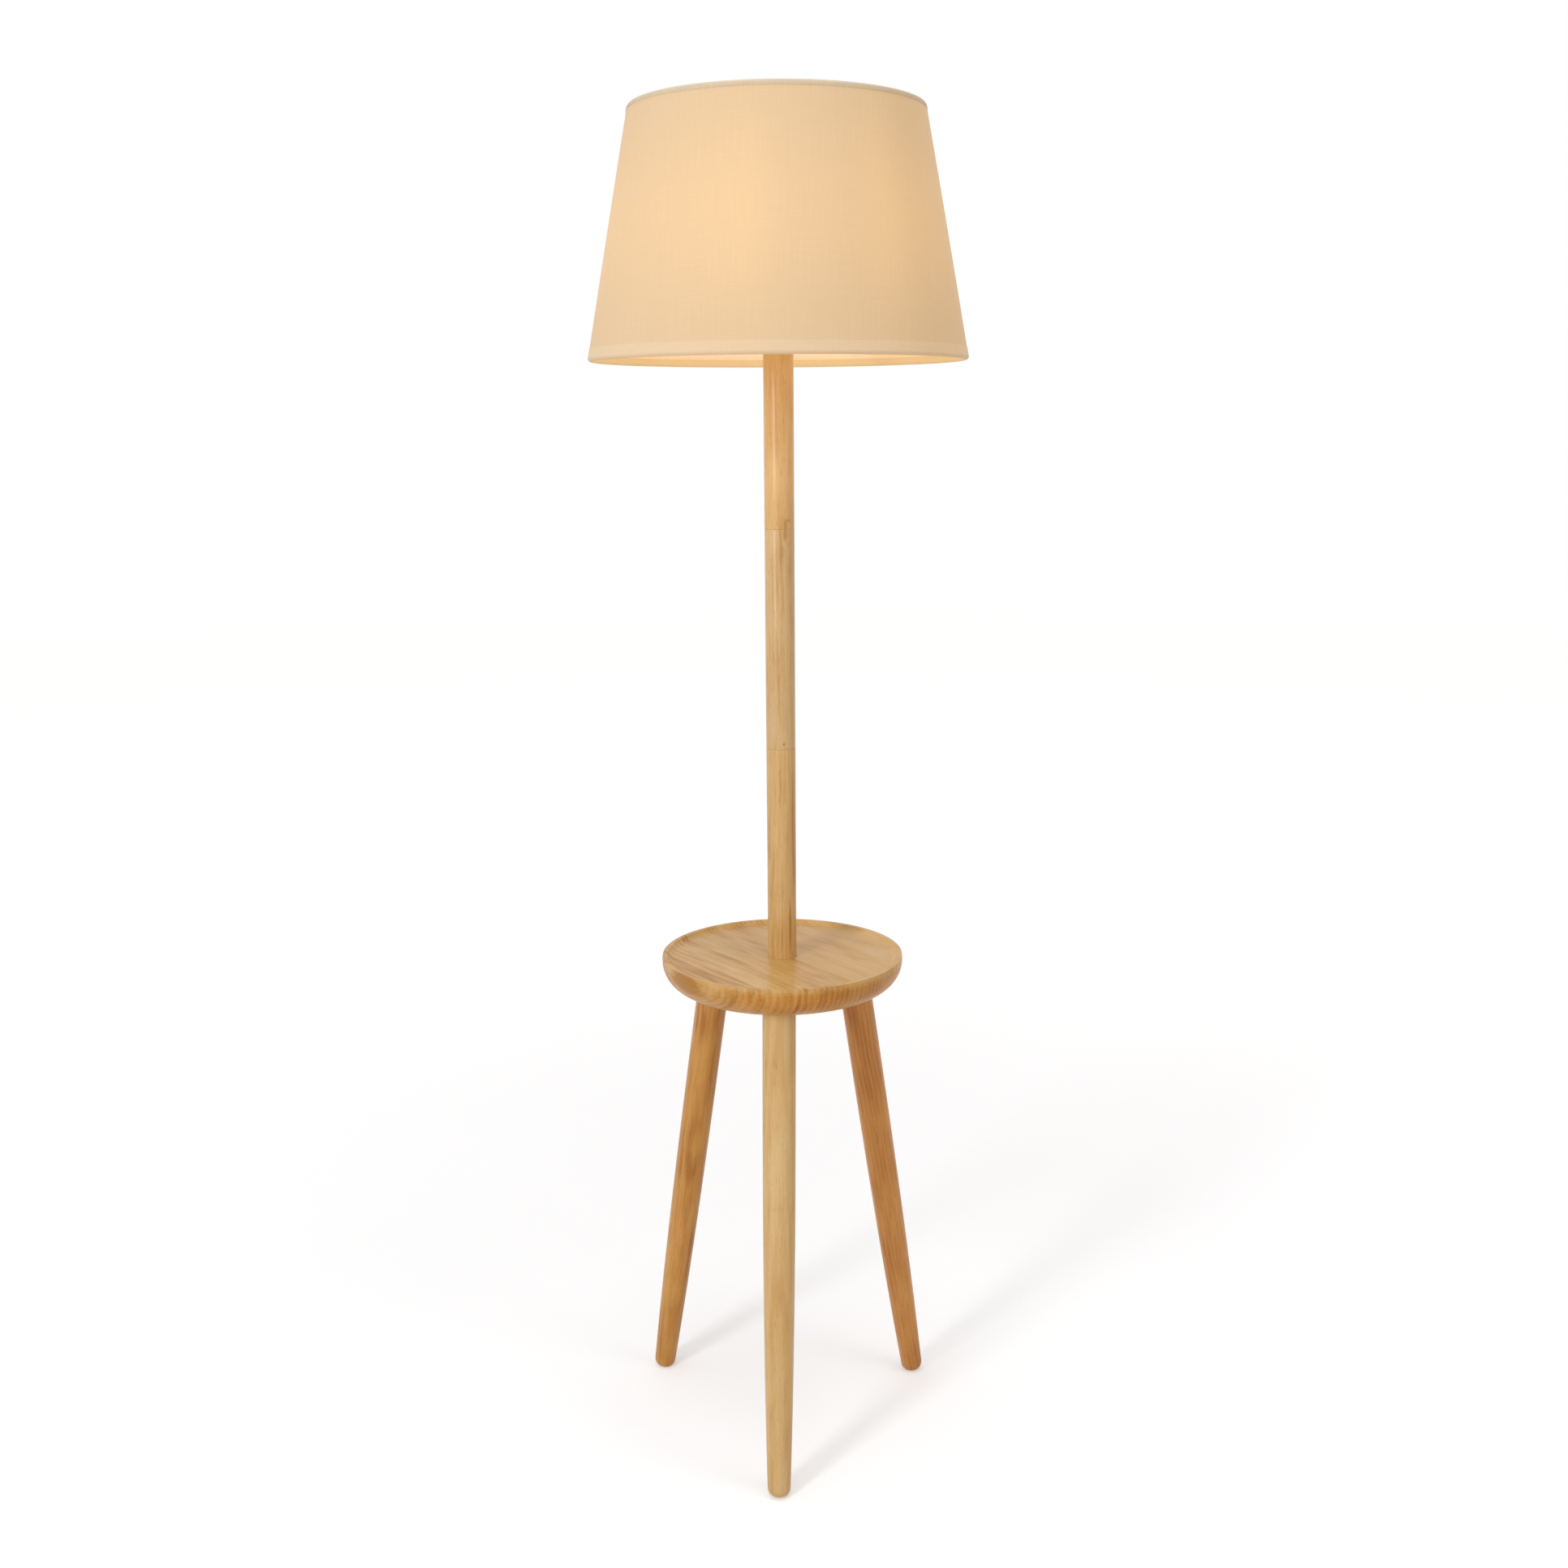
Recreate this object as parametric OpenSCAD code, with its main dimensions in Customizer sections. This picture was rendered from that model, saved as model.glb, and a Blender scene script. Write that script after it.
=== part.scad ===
// Floor lamp with a round shelf. Three turned legs stand in angled sockets under a dished
// wooden shelf, a turned pole in three sections stands on the shelf, and a tapered fabric
// shade hangs on a wire frame clamped to a screw lampholder at the top of the pole.
// Millimetres, +Z up, origin on the floor on the pole's axis, front leg towards -Y.

/* [Legs] */
// Diameter of a leg at its top
leg_top_d = 38.2; // [34:0.2:44]
// Diameter that a leg's curved taper comes down to at the floor
foot_d = 26.7; // [23:0.1:34]
// Power of the taper: 1 is straight, more keeps the upper leg full
leg_swell = 3; // [1:0.5:4]
// Rounding of the foot's edge
foot_round = 9.5; // [4:0.5:11]
// Depth taken off the foot so that it stands level
foot_cut = 0.5; // [0.3:0.1:0.9]
// Lean of a leg from upright, in degrees
leg_splay = 9.3; // [6:0.1:12]
// Radius at which a leg's axis meets the underside of the shelf
leg_circle_r = 97; // [88:1:104]
// Depth of a leg's socket at its shallow side
socket_edge = 0.8; // [0.4:0.1:2]
// Radial gap between a leg and its socket
socket_gap = 0.3; // [0.1:0.1:0.6]

/* [Shelf] */
// Height of the shelf's rim above the floor
rim_h = 597; // [500:1:700]
// Diameter of the shelf
shelf_d = 286; // [270:1:330]
// Thickness of the shelf from its underside to its rim
shelf_t = 39; // [37:1:48]
// Radius of the round underside edge
belly_round = 33; // [24:1:34]
// Depth of the dish below the rim
dish_depth = 4; // [3:0.5:6]
// Width of the flat rim
rim_w = 6; // [4:0.5:10]
// Radius of the cove between the dish floor and the rim
cove_r = 10; // [7:0.5:14]
// Rounding of the rim's outer edge
rim_round = 3; // [1:0.5:4]

/* [Pole] */
// Diameter of the pole
pole_d = 34; // [30:1:40]
// Length of the lower section and of the middle section
pole_part_l = 252.5; // [200:0.5:300]
// Length of the upper section
pole_top_l = 230; // [180:1:280]
// Diameter of the cable duct through the pole
duct_d = 12; // [9:0.5:14]
// Chamfer on the ends of each section
pole_edge = 0.5; // [0.3:0.1:1.5]
// Depth of the pole's seat in the shelf
pole_seat = 2; // [1:0.5:4]

/* [Threaded parts] */
// Outer diameter of the threaded tubes
tube_d = 10; // [9:0.5:12]
// Bore of the threaded tubes
tube_bore_d = 7.5; // [5:0.5:8]
// Radial gap between a male and a female thread
thread_gap = 0.1; // [0.05:0.05:0.2]
// Outer diameter of a ferrule in the end of a pole section
ferrule_d = 16; // [14.5:0.5:20]
// Length of a ferrule
ferrule_l = 24; // [20:1:32]
// Length of thread in each ferrule
thread_in = 22; // [14:1:23.5]
// Outer diameter of the washer under the shelf
washer_d = 30; // [22:1:36]
// Thickness of the washer
washer_t = 2; // [1:0.5:3]
// Width across flats of the nuts
nut_af = 17; // [15:1:19]
// Thickness of the nut under the shelf
nut_t = 6; // [4:0.5:7]
// Diameter of the pocket for the nut and washer
pocket_d = 40; // [38:1:50]
// Depth of the pocket for the nut and washer
pocket_depth = 12; // [10:0.5:14]
// Diameter of a leg's hanger bolt
bolt_d = 8; // [6:0.5:9]
// Length of a hanger bolt in the leg
bolt_wood_l = 40; // [30:1:60]
// Outer diameter of the insert nut for a leg
insert_d = 12.5; // [11.5:0.5:15]
// Length of the insert nut for a leg
insert_l = 15; // [10:1:18]

/* [Cable outlet] */
// Outer diameter of the outlet bush
outlet_d = 18; // [15:1:24]
// Length of the outlet bush
outlet_l = 14; // [11:1:20]
// Bore of the outlet bush
outlet_bore_d = 6.6; // [5:0.2:8]
// Length of tube inside the outlet bush
outlet_grip = 6; // [4:0.5:8]
// Rounding of the outlet's mouth
outlet_mouth = 1.5; // [0.5:0.5:2]

/* [Lampholder] */
// Height of the cup on top of the pole
cup_h = 20; // [18:0.5:26]
// Wall of the cup
cup_wall = 3.3; // [2.5:0.1:4]
// Rounding of the cup's foot
cup_round = 12; // [8:0.5:13]
// Depth to which the barrel is screwed into the cup
barrel_in = 7; // [5:0.5:8]
// Length of the barrel
barrel_l = 41; // [39:0.5:48]
// Wall of the barrel
barrel_wall = 2.3; // [1.5:0.1:3]
// Thickness of the lip at the foot of the barrel
barrel_lip = 1.5; // [1:0.5:2]
// Length of the insulating core
core_l = 35.4; // [33:0.1:37.5]
// Thickness of the core's floor
core_floor = 6.5; // [6:0.5:8]
// Wall of the core
core_wall = 2.5; // [1.5:0.1:3]
// Length of the screw shell
shell_l = 26.8; // [22:0.1:28]
// Thickness of the screw shell
shell_t = 0.6; // [0.4:0.1:1]
// Thickness of the lock nut in the cup
lock_t = 3; // [2:0.5:4]
// Diameter of a terminal screw's head
terminal_d = 5.5; // [4:0.5:7]

/* [Bulb] */
// Diameter of the bulb's screw cap
cap_d = 26.4; // [24:0.1:28]
// Height of the screw cap's thread
cap_h = 22; // [20:0.5:24]
// Diameter of the bulb's dome
bulb_d = 60; // [50:1:70]
// Length of the bulb from its tip to the top of the dome
bulb_l = 108.5; // [96:0.5:120]
// Wall of the dome
dome_wall = 1.5; // [1:0.1:2.5]
// Diameter of the bulb's lamp board
board_d = 44; // [34:1:48]

/* [Shade] */
// Diameter of the shade at the top
shade_top_d = 325; // [280:1:380]
// Diameter of the shade at the bottom
shade_bottom_d = 422; // [400:1:460]
// Height of the shade
shade_h = 267.5; // [240:0.5:300]
// Height of the lampholder's shoulder above the shade's bottom edge
shade_recess = 65.5; // [50:0.5:90]
// Diameter of the wire rings
wire_d = 3.5; // [3:0.1:5]
// Diameter of the three spokes
spoke_d = 3; // [2.4:0.1:3.4]
// Bend radius of the spokes
spoke_bend = 12; // [6:1:20]
// Length of the level stretch of a spoke at its inner end, past the fitter
spoke_in = 11; // [6:1:20]
// Length of the level stretch of a spoke at its outer end
spoke_out = 12; // [8:1:20]
// Thickness of the cloth
cloth_t = 0.9; // [0.7:0.1:1.4]
// Thickness of the edging tape
tape_t = 0.4; // [0.3:0.1:0.8]
// Gap between the cloth and the wires
hem_gap = 0.4; // [0.2:0.05:0.5]
// Width of the tape on the outside at the bottom
tape_bottom_w = 10; // [6:0.5:14]
// Width of the tape on the outside at the top
tape_top_w = 3; // [2:0.5:8]
// Width of the tape turned to the inside
tape_in_w = 6; // [3:0.5:10]
// Thickness of the stiff liner behind the cloth
liner_t = 0.6; // [0.4:0.1:0.9]

/* [Shade clamp] */
// Thickness of the fitter at the middle of the shade's frame
fitter_t = 2.2; // [1.6:0.1:3]
// Width of the fitter around its hole
fitter_w = 9; // [8:0.5:12]
// Gap above and below the fitter
clamp_gap = 0.3; // [0.2:0.1:0.5]
// Width of the shade ring's flange
flange_w = 6; // [5:0.5:7]
// Thickness of the shade ring's flange
flange_t = 2; // [1.5:0.5:3]
// Wall of the shade ring's collar
collar_wall = 3.2; // [2.6:0.2:4]
// Height of the shade ring
ring_h = 10; // [8:0.5:14]
// Number of grip ribs on the shade ring
grip_n = 18; // [12:1:24]

/* [Hidden] */
$fn = 96;

// Small sizes shared by several pieces
seat_gap = 0.1;
part_gap = 0.2;
over = 1;
turns = [270, 150, 30];

// Shelf and pole heights
shelf_r = shelf_d / 2;
under_z = rim_h - shelf_t;
floor_z = rim_h - dish_depth;
seat_z = floor_z - pole_seat;
joint_1_z = floor_z + pole_part_l;
joint_2_z = joint_1_z + pole_part_l;
top_z = joint_2_z + pole_top_l;
pole_ends = [[seat_z, joint_1_z], [joint_1_z, joint_2_z], [joint_2_z, top_z]];

// Dish outline: the cove is a circle that touches the dish floor
cove_x = shelf_r - rim_w - sqrt(pow(cove_r, 2) - pow(cove_r - dish_depth, 2));

// Shares of a larger size
tip_share = 0.75;
terminal_share = 0.62;
spring_share = 0.45;

// Leg axis: the lowest point of the tilted foot stays foot_cut below the floor
leg_top_r = leg_top_d / 2;
foot_r = foot_d / 2;
foot_z = foot_round * (1 - cos(leg_splay)) + (foot_r - foot_round) * sin(leg_splay) - foot_cut;
foot_x = leg_circle_r + (under_z - foot_z) * tan(leg_splay);
socket_depth = (socket_edge + leg_top_r * sin(leg_splay)) / cos(leg_splay);
leg_l = (under_z - foot_z) / cos(leg_splay) + socket_depth;
leg_steps = 14;
bolt_machine_l = insert_l - seat_gap;
bolt_tip = bolt_d * tip_share;

// Threaded tube through the shelf
nut_z = under_z + pocket_depth - washer_t - nut_t;
tube_z = nut_z - outlet_grip;
outlet_z = nut_z - seat_gap - outlet_l;
tube_r = tube_d / 2;
thread_hole_r = tube_r + thread_gap;

// Lampholder, from the screw cap outwards and from the pole's top upwards
cap_r = cap_d / 2;
screw_play = 0.5;
shell_r = cap_r + screw_play;
core_bore_r = shell_r + shell_t + part_gap;
core_r = core_bore_r + core_wall;
barrel_bore_r = core_r + part_gap;
barrel_r = barrel_bore_r + barrel_wall;
cup_bore_r = barrel_r + part_gap;
cup_r = cup_bore_r + cup_wall;
shoulder_z = top_z + cup_h;
barrel_z = shoulder_z - barrel_in;
core_z = barrel_z + barrel_lip + seat_gap;
core_floor_z = core_z + core_floor;
contact_z = core_floor_z + seat_gap;
contact_h = 3.2;
terminal_x = core_bore_r * terminal_share;
lip_bore_r = terminal_x + terminal_d / 2 + 2 * over;

// Bulb
bulb_z = contact_z + contact_h + clamp_gap;
contact_t = 1.2;
contact_r = 4.8;
insulator_h = 2.6;
shoulder_h = 2.6;
cap_t = 0.5;
cap_z = bulb_z + contact_t + insulator_h;
cap_top_z = cap_z + cap_h;
bulb_r = bulb_d / 2;
dome_z = bulb_z + bulb_l - bulb_r;
dome_cut = 7;
body_z = dome_z - dome_cut;
body_r = sqrt(pow(bulb_r, 2) - pow(dome_cut, 2));
board_t = 1.2;

// Shade: the wall runs straight from the bottom wire to the top wire
wire_r = wire_d / 2;
spoke_r = spoke_d / 2;
roll_r = wire_r + hem_gap;
hem_r = roll_r + cloth_t + tape_t;
shade_z = shoulder_z - shade_recess;
ring_b_r = shade_bottom_d / 2 - hem_r;
ring_t_r = shade_top_d / 2 - hem_r;
ring_b_z = shade_z + hem_r;
ring_t_z = shade_z + shade_h - hem_r;
wall_tilt = atan((ring_b_r - ring_t_r) / (ring_t_z - ring_b_z));
wall_l = norm([ring_b_r - ring_t_r, ring_t_z - ring_b_z]);
liner_end = wire_d + part_gap;

// Fitter and spokes
fitter_z = shoulder_z + clamp_gap;
fitter_bore_r = barrel_r + 2 * clamp_gap;
fitter_r = fitter_bore_r + fitter_w;
spoke_z = fitter_z + fitter_t / 2;
spoke_p = [fitter_r + spoke_in, spoke_z];
spoke_q = [ring_b_r - spoke_out, ring_b_z];
spoke_fall = atan((spoke_z - ring_b_z) / (spoke_q.x - spoke_p.x));
bend_run = spoke_bend * tan(spoke_fall / 2);
spoke_turns = [90, 210, 330];
spoke_steps = 5;
spoke_weld = 2;
ring_z = fitter_z + fitter_t + clamp_gap;
ring_bore_r = barrel_r + clamp_gap;

echo(lamp_height = shade_z + shade_h, leg_length = leg_l, foot_flat_radius = foot_x
    - (foot_r - foot_round) * cos(leg_splay) - foot_round * sin(leg_splay));

// Puts a leg's own frame, with +Z up along the leg's axis, in place at a turn about the pole
module along_leg(turn) {
    rotate([0, 0, turn]) translate([foot_x, 0, foot_z]) rotate([0, -leg_splay, 0]) children();
}

// A plain tube standing on z
module tube(z, h, outer_r, bore_r) {
    translate([0, 0, z]) difference() {
        cylinder(h = h, r = outer_r);
        translate([0, 0, -over]) cylinder(h = h + 2 * over, r = bore_r);
    }
}

// Outline of a leg: full above and tapering ever faster below, to a foot rounded by an arc
module leg_outline() {
    arc = [for (a = [0 : 10 : 90]) [foot_r, foot_round] + foot_round * [sin(a) - 1, -cos(a)]];
    taper = [for (i = [1 : leg_steps]) let (share = i / leg_steps)
        [leg_top_r - (leg_top_r - foot_r) * pow(1 - share, leg_swell),
         foot_round + (leg_l - foot_round) * share]];
    polygon(concat([[0, 0]], arc, taper, [[0, leg_l]]));
}

module leg(turn) {
    color("burlywood") difference() {
        along_leg(turn) difference() {
            rotate_extrude() leg_outline();
            translate([0, 0, leg_l - bolt_wood_l - over])
                cylinder(h = bolt_wood_l + 2 * over, r = bolt_d / 2 + thread_gap);
        }
        translate([-2 * foot_x, -2 * foot_x, -foot_d]) cube([4 * foot_x, 4 * foot_x, foot_d]);
    }
}

module leg_front() {
    leg(turns[0]);
}

module leg_back_left() {
    leg(turns[1]);
}

module leg_back_right() {
    leg(turns[2]);
}

// Hanger bolts: wood screw with a point below, plain machine end above
module leg_hanger_bolts() {
    color("silver") for (turn = turns) along_leg(turn) rotate_extrude() polygon([
        [0, leg_l - bolt_wood_l], [bolt_d / 2, leg_l - bolt_wood_l + bolt_tip],
        [bolt_d / 2, leg_l + bolt_machine_l], [0, leg_l + bolt_machine_l]
    ]);
}

module leg_insert_nuts() {
    color("goldenrod") for (turn = turns) along_leg(turn)
        tube(leg_l + seat_gap, insert_l - seat_gap, insert_d / 2, bolt_d / 2 + thread_gap);
}

// Outline of the shelf: round belly, narrow rounded rim and a coved dish
module shelf_outline() {
    difference() {
        union() {
            translate([0, under_z]) square([shelf_r - belly_round, shelf_t]);
            translate([shelf_r - belly_round, under_z + belly_round]) circle(r = belly_round);
            translate([0, under_z + belly_round])
                square([shelf_r, shelf_t - belly_round - rim_round]);
            translate([0, under_z + belly_round])
                square([shelf_r - rim_round, shelf_t - belly_round]);
            translate([shelf_r - rim_round, rim_h - rim_round]) circle(r = rim_round);
        }
        translate([shelf_r - belly_round * 2, rim_h])
            square([belly_round * 2 + over, belly_round * 2]);
        translate([-over, floor_z]) square([cove_x + over, shelf_t]);
        translate([cove_x, floor_z + cove_r]) circle(r = cove_r);
    }
}

module shelf() {
    color("tan") difference() {
        rotate_extrude() shelf_outline();
        translate([0, 0, under_z - over]) cylinder(h = shelf_t + 2 * over, r = tube_r + part_gap);
        translate([0, 0, seat_z]) cylinder(h = pole_seat + over, r = pole_d / 2 + part_gap);
        translate([0, 0, under_z - over]) cylinder(h = pocket_depth + over, r = pocket_d / 2);
        for (turn = turns) along_leg(turn) {
            translate([0, 0, leg_l - leg_top_d]) cylinder(h = leg_top_d, r = leg_top_r + socket_gap);
            translate([0, 0, leg_l - over])
                cylinder(h = insert_l + 2 * over, r = insert_d / 2 + thread_gap);
        }
    }
}

module shelf_washer() {
    color("silver") tube(nut_z + nut_t, washer_t, washer_d / 2, tube_r + part_gap);
}

// Hexagon nut on the threaded tube
module hex_nut(z, h) {
    difference() {
        translate([0, 0, z]) cylinder(h = h, r = nut_af / sqrt(3), $fn = 6);
        translate([0, 0, z - over]) cylinder(h = h + 2 * over, r = thread_hole_r);
    }
}

module shelf_nut() {
    color("silver") hex_nut(nut_z, nut_t);
}

module shelf_tube() {
    color("silver") tube(tube_z, seat_z + thread_in - tube_z, tube_r, tube_bore_d / 2);
}

// Outlet bush: screwed on the lower end of the tube, with a rounded mouth for the cable
module cable_outlet_bush() {
    bore_r = outlet_bore_d / 2;
    color("black") difference() {
        translate([0, 0, outlet_z]) rotate_extrude() {
            translate([bore_r, outlet_mouth])
                square([outlet_d / 2 - bore_r, outlet_l - outlet_mouth]);
            translate([bore_r + outlet_mouth, 0])
                square([outlet_d / 2 - bore_r - 2 * outlet_mouth, outlet_l]);
            translate([bore_r + outlet_mouth, outlet_mouth]) circle(r = outlet_mouth);
            translate([outlet_d / 2 - outlet_mouth, outlet_mouth]) circle(r = outlet_mouth);
        }
        translate([0, 0, tube_z - seat_gap]) cylinder(h = outlet_l, r = thread_hole_r);
    }
}

// One section of the pole: a turned tube, counterbored for a ferrule at each end
module pole_section(ends) {
    r = pole_d / 2;
    z = ends[0];
    l = ends[1] - ends[0];
    color("burlywood") difference() {
        translate([0, 0, z]) rotate_extrude() polygon([
            [0, 0], [r - pole_edge, 0], [r, pole_edge], [r, l - pole_edge], [r - pole_edge, l], [0, l]
        ]);
        translate([0, 0, z - over]) cylinder(h = l + 2 * over, r = duct_d / 2);
        translate([0, 0, z - over])
            cylinder(h = ferrule_l + 2 * seat_gap + over, r = ferrule_d / 2 + seat_gap);
        translate([0, 0, z + l - ferrule_l - 2 * seat_gap])
            cylinder(h = ferrule_l + 2 * seat_gap + over, r = ferrule_d / 2 + seat_gap);
    }
}

module pole_lower() {
    pole_section(pole_ends[0]);
}

module pole_middle() {
    pole_section(pole_ends[1]);
}

module pole_upper() {
    pole_section(pole_ends[2]);
}

module pole_ferrules() {
    color("goldenrod") for (ends = pole_ends) {
        tube(ends[0] + seat_gap, ferrule_l, ferrule_d / 2, thread_hole_r);
        tube(ends[1] - seat_gap - ferrule_l, ferrule_l, ferrule_d / 2, thread_hole_r);
    }
}

module pole_nipples() {
    color("silver") for (z = [joint_1_z, joint_2_z])
        tube(z - thread_in, 2 * thread_in, tube_r, tube_bore_d / 2);
}

module holder_nipple() {
    color("silver") tube(top_z - thread_in, thread_in + cup_wall + lock_t + over, tube_r,
        tube_bore_d / 2);
}

module holder_lock_nut() {
    color("silver") hex_nut(top_z + cup_wall + seat_gap, lock_t);
}

// A domed cup's outline: flat foot, rounded corner and straight rim, inset by a wall
module cup_outline(inset, top) {
    translate([0, inset]) square([cup_r - cup_round, top - inset]);
    translate([0, cup_round]) square([cup_r - inset, top - cup_round]);
    translate([cup_r - cup_round, cup_round]) intersection() {
        circle(r = cup_round - inset);
        translate([0, -cup_round]) square(cup_round);
    }
}

module holder_cup() {
    color("ivory") translate([0, 0, top_z]) difference() {
        rotate_extrude() difference() {
            cup_outline(0, cup_h);
            cup_outline(cup_wall, cup_h + over);
        }
        translate([0, 0, -over]) cylinder(h = cup_wall + 2 * over, r = thread_hole_r);
    }
}

module holder_barrel() {
    color("ivory") difference() {
        translate([0, 0, barrel_z]) cylinder(h = barrel_l, r = barrel_r);
        translate([0, 0, barrel_z + barrel_lip]) cylinder(h = barrel_l, r = barrel_bore_r);
        translate([0, 0, barrel_z - over]) cylinder(h = barrel_l, r = lip_bore_r);
    }
}

module holder_core() {
    color("white") difference() {
        translate([0, 0, core_z]) cylinder(h = core_l, r = core_r);
        translate([0, 0, core_floor_z]) cylinder(h = core_l, r = core_bore_r);
        for (side = [-1, 1]) translate([side * terminal_x, 0, core_z - over])
            cylinder(h = core_floor, r = terminal_d / 4 + part_gap);
    }
}

module holder_screw_shell() {
    color("gold") tube(core_floor_z + seat_gap, shell_l, shell_r + shell_t, shell_r);
}

// Centre contact: a leaf folded back over its own foot
module holder_centre_contact() {
    leaf_t = 0.6;
    leaf_w = 5;
    foot_l = cap_r * spring_share;
    color("gold") translate([0, leaf_w / 2, contact_z]) rotate([90, 0, 0])
        linear_extrude(height = leaf_w) polygon([
            [-foot_l, 0], [foot_l / 2, 0], [foot_l / 2, leaf_t], [leaf_t - foot_l, leaf_t],
            [foot_l / 2, contact_h - leaf_t], [foot_l / 2, contact_h],
            [foot_l / 4, contact_h], [-foot_l, 2 * leaf_t]
        ]);
}

module holder_terminal_screws() {
    head_h = 2;
    color("gold") for (side = [-1, 1]) translate([side * terminal_x, 0, core_z]) {
        translate([0, 0, -head_h - seat_gap]) cylinder(h = head_h, r = terminal_d / 2);
        translate([0, 0, -head_h]) cylinder(h = head_h + core_floor - 2 * over, r = terminal_d / 4);
    }
}

// Shade ring: a flange that clamps the fitter, with a ribbed collar to grip
module shade_ring() {
    collar_r = ring_bore_r + collar_wall;
    rib_r = 1;
    color("ivory") difference() {
        translate([0, 0, ring_z]) union() {
            cylinder(h = flange_t, r = ring_bore_r + flange_w);
            cylinder(h = ring_h, r = collar_r);
            for (i = [0 : grip_n - 1]) rotate([0, 0, i * 360 / grip_n])
                translate([collar_r, 0, 0]) cylinder(h = ring_h, r = rib_r, $fn = 16);
        }
        translate([0, 0, ring_z - over]) cylinder(h = ring_h + 2 * over, r = ring_bore_r);
    }
}

// Turns a wall outline, drawn up from the bottom wire with x outwards, into the shade's cone
module shade_turned() {
    rotate_extrude() translate([ring_b_r, ring_b_z]) rotate(wall_tilt) children();
}

// Cloth and tape rolled round a wire, open towards the wall
module rolled_hem() {
    difference() {
        circle(r = hem_r);
        circle(r = roll_r);
        translate([-2 * hem_r, 0]) square([4 * hem_r, 2 * hem_r]);
    }
}

// Shade cover: cloth wall, edging tape outside, and the tape turned in round both wires
module shade_cover() {
    notch_w = spoke_d + 4 * hem_gap;
    notch_l = hem_r + over - roll_r / 2;
    color("wheat") difference() {
        shade_turned() {
            translate([roll_r, 0]) square([cloth_t, wall_l]);
            translate([roll_r, 0]) square([cloth_t + tape_t, tape_bottom_w]);
            translate([roll_r, wall_l - tape_top_w]) square([cloth_t + tape_t, tape_top_w]);
            translate([-hem_r, 0]) square([hem_r - roll_r, tape_in_w]);
            translate([-hem_r, wall_l - tape_in_w]) square([hem_r - roll_r, tape_in_w]);
            rolled_hem();
            translate([0, wall_l]) mirror([0, 1]) rolled_hem();
        }
        for (turn = spoke_turns) rotate([0, 0, turn])
            translate([ring_b_r - hem_r - tape_in_w, -notch_w / 2, ring_b_z - notch_w / 2])
                cube([tape_in_w - over + notch_l, notch_w, tape_in_w + notch_w]);
    }
}

module shade_liner() {
    color("linen") shade_turned() translate([roll_r - seat_gap - liner_t, liner_end])
        square([liner_t, wall_l - 2 * liner_end]);
}

// A wire ring
module wire_ring(r, z) {
    translate([0, 0, z]) rotate_extrude() translate([r, 0]) circle(r = wire_r);
}

module shade_top_ring() {
    color("white") wire_ring(ring_t_r, ring_t_z);
}

module shade_bottom_ring() {
    color("white") wire_ring(ring_b_r, ring_b_z);
}

module shade_fitter() {
    color("white") tube(fitter_z, fitter_t, fitter_r, fitter_bore_r);
}

// Path of a cranked spoke as [radius, height, heading]: level from the fitter, round a bend,
// down a slope, round a second bend and level again into the bottom ring
function bow(centre, start, heading) = [
    for (i = [0 : spoke_steps]) let (part = i / spoke_steps, a = start - heading * part) [
        centre.x + spoke_bend * cos(a), centre.y + spoke_bend * sin(a), -heading * part
    ]
];
function spoke_path() = let (
    first = bow([spoke_p.x - bend_run, spoke_z - spoke_bend], 90, spoke_fall),
    last = bow([spoke_q.x + bend_run, ring_b_z + spoke_bend], 270 - spoke_fall, -spoke_fall)
) concat(
    [[fitter_r - spoke_weld, spoke_z, 0]],
    first,
    [for (p = last) [p[0], p[1], p[2] - spoke_fall]],
    [[ring_b_r, ring_b_z, 0]]
);

// Sweeps a round section with a number of sides along a path of [radius, height, heading]
module swept_wire(path, r, sides) {
    points = [for (p = path, j = [0 : sides - 1]) let (a = j * 360 / sides) [
        p[0] - r * cos(a) * sin(p[2]), r * sin(a), p[1] + r * cos(a) * cos(p[2])
    ]];
    last = (len(path) - 1) * sides;
    walls = [for (i = [0 : len(path) - 2], j = [0 : sides - 1])
        let (k = (j + 1) % sides, m = i * sides, n = m + sides)
        each [[m + j, n + j, n + k], [m + j, n + k, m + k]]];
    near = [for (j = [1 : sides - 2]) [0, j, j + 1]];
    far = [for (j = [1 : sides - 2]) [last, last + j + 1, last + j]];
    polyhedron(points, concat(walls, near, far));
}

module shade_spokes() {
    color("white") for (turn = spoke_turns) rotate([0, 0, turn])
        swept_wire(spoke_path(), spoke_r, 12);
}

// Bulb dome: the upper part of a hollow ball
module bulb_dome() {
    color("white") translate([0, 0, dome_z]) difference() {
        sphere(r = bulb_r);
        sphere(r = bulb_r - dome_wall);
        translate([-bulb_d, -bulb_d, part_gap - dome_cut - bulb_d])
            cube([2 * bulb_d, 2 * bulb_d, bulb_d]);
    }
}

// Bulb body: a cone from the screw cap to the dome, with a neck inside the cap
module bulb_body() {
    neck_r = cap_r - cap_t - seat_gap;
    color("whitesmoke") rotate_extrude() polygon([
        [0, cap_top_z - cap_h / 3], [neck_r, cap_top_z - cap_h / 3],
        [neck_r, cap_top_z + seat_gap], [cap_r, cap_top_z + seat_gap],
        [cap_r, cap_top_z + 2 * over], [body_r, body_z], [0, body_z]
    ]);
}

// Lamp board with a ring of small light emitters
module bulb_board() {
    chip = 2.8;
    chip_n = 10;
    color("white") translate([0, 0, body_z + seat_gap]) {
        cylinder(h = board_t, r = board_d / 2);
        for (i = [0 : chip_n - 1]) rotate([0, 0, i * 360 / chip_n])
            translate([board_d / 3, -chip / 2, board_t / 2]) cube([chip, chip, board_t]);
    }
}

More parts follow.
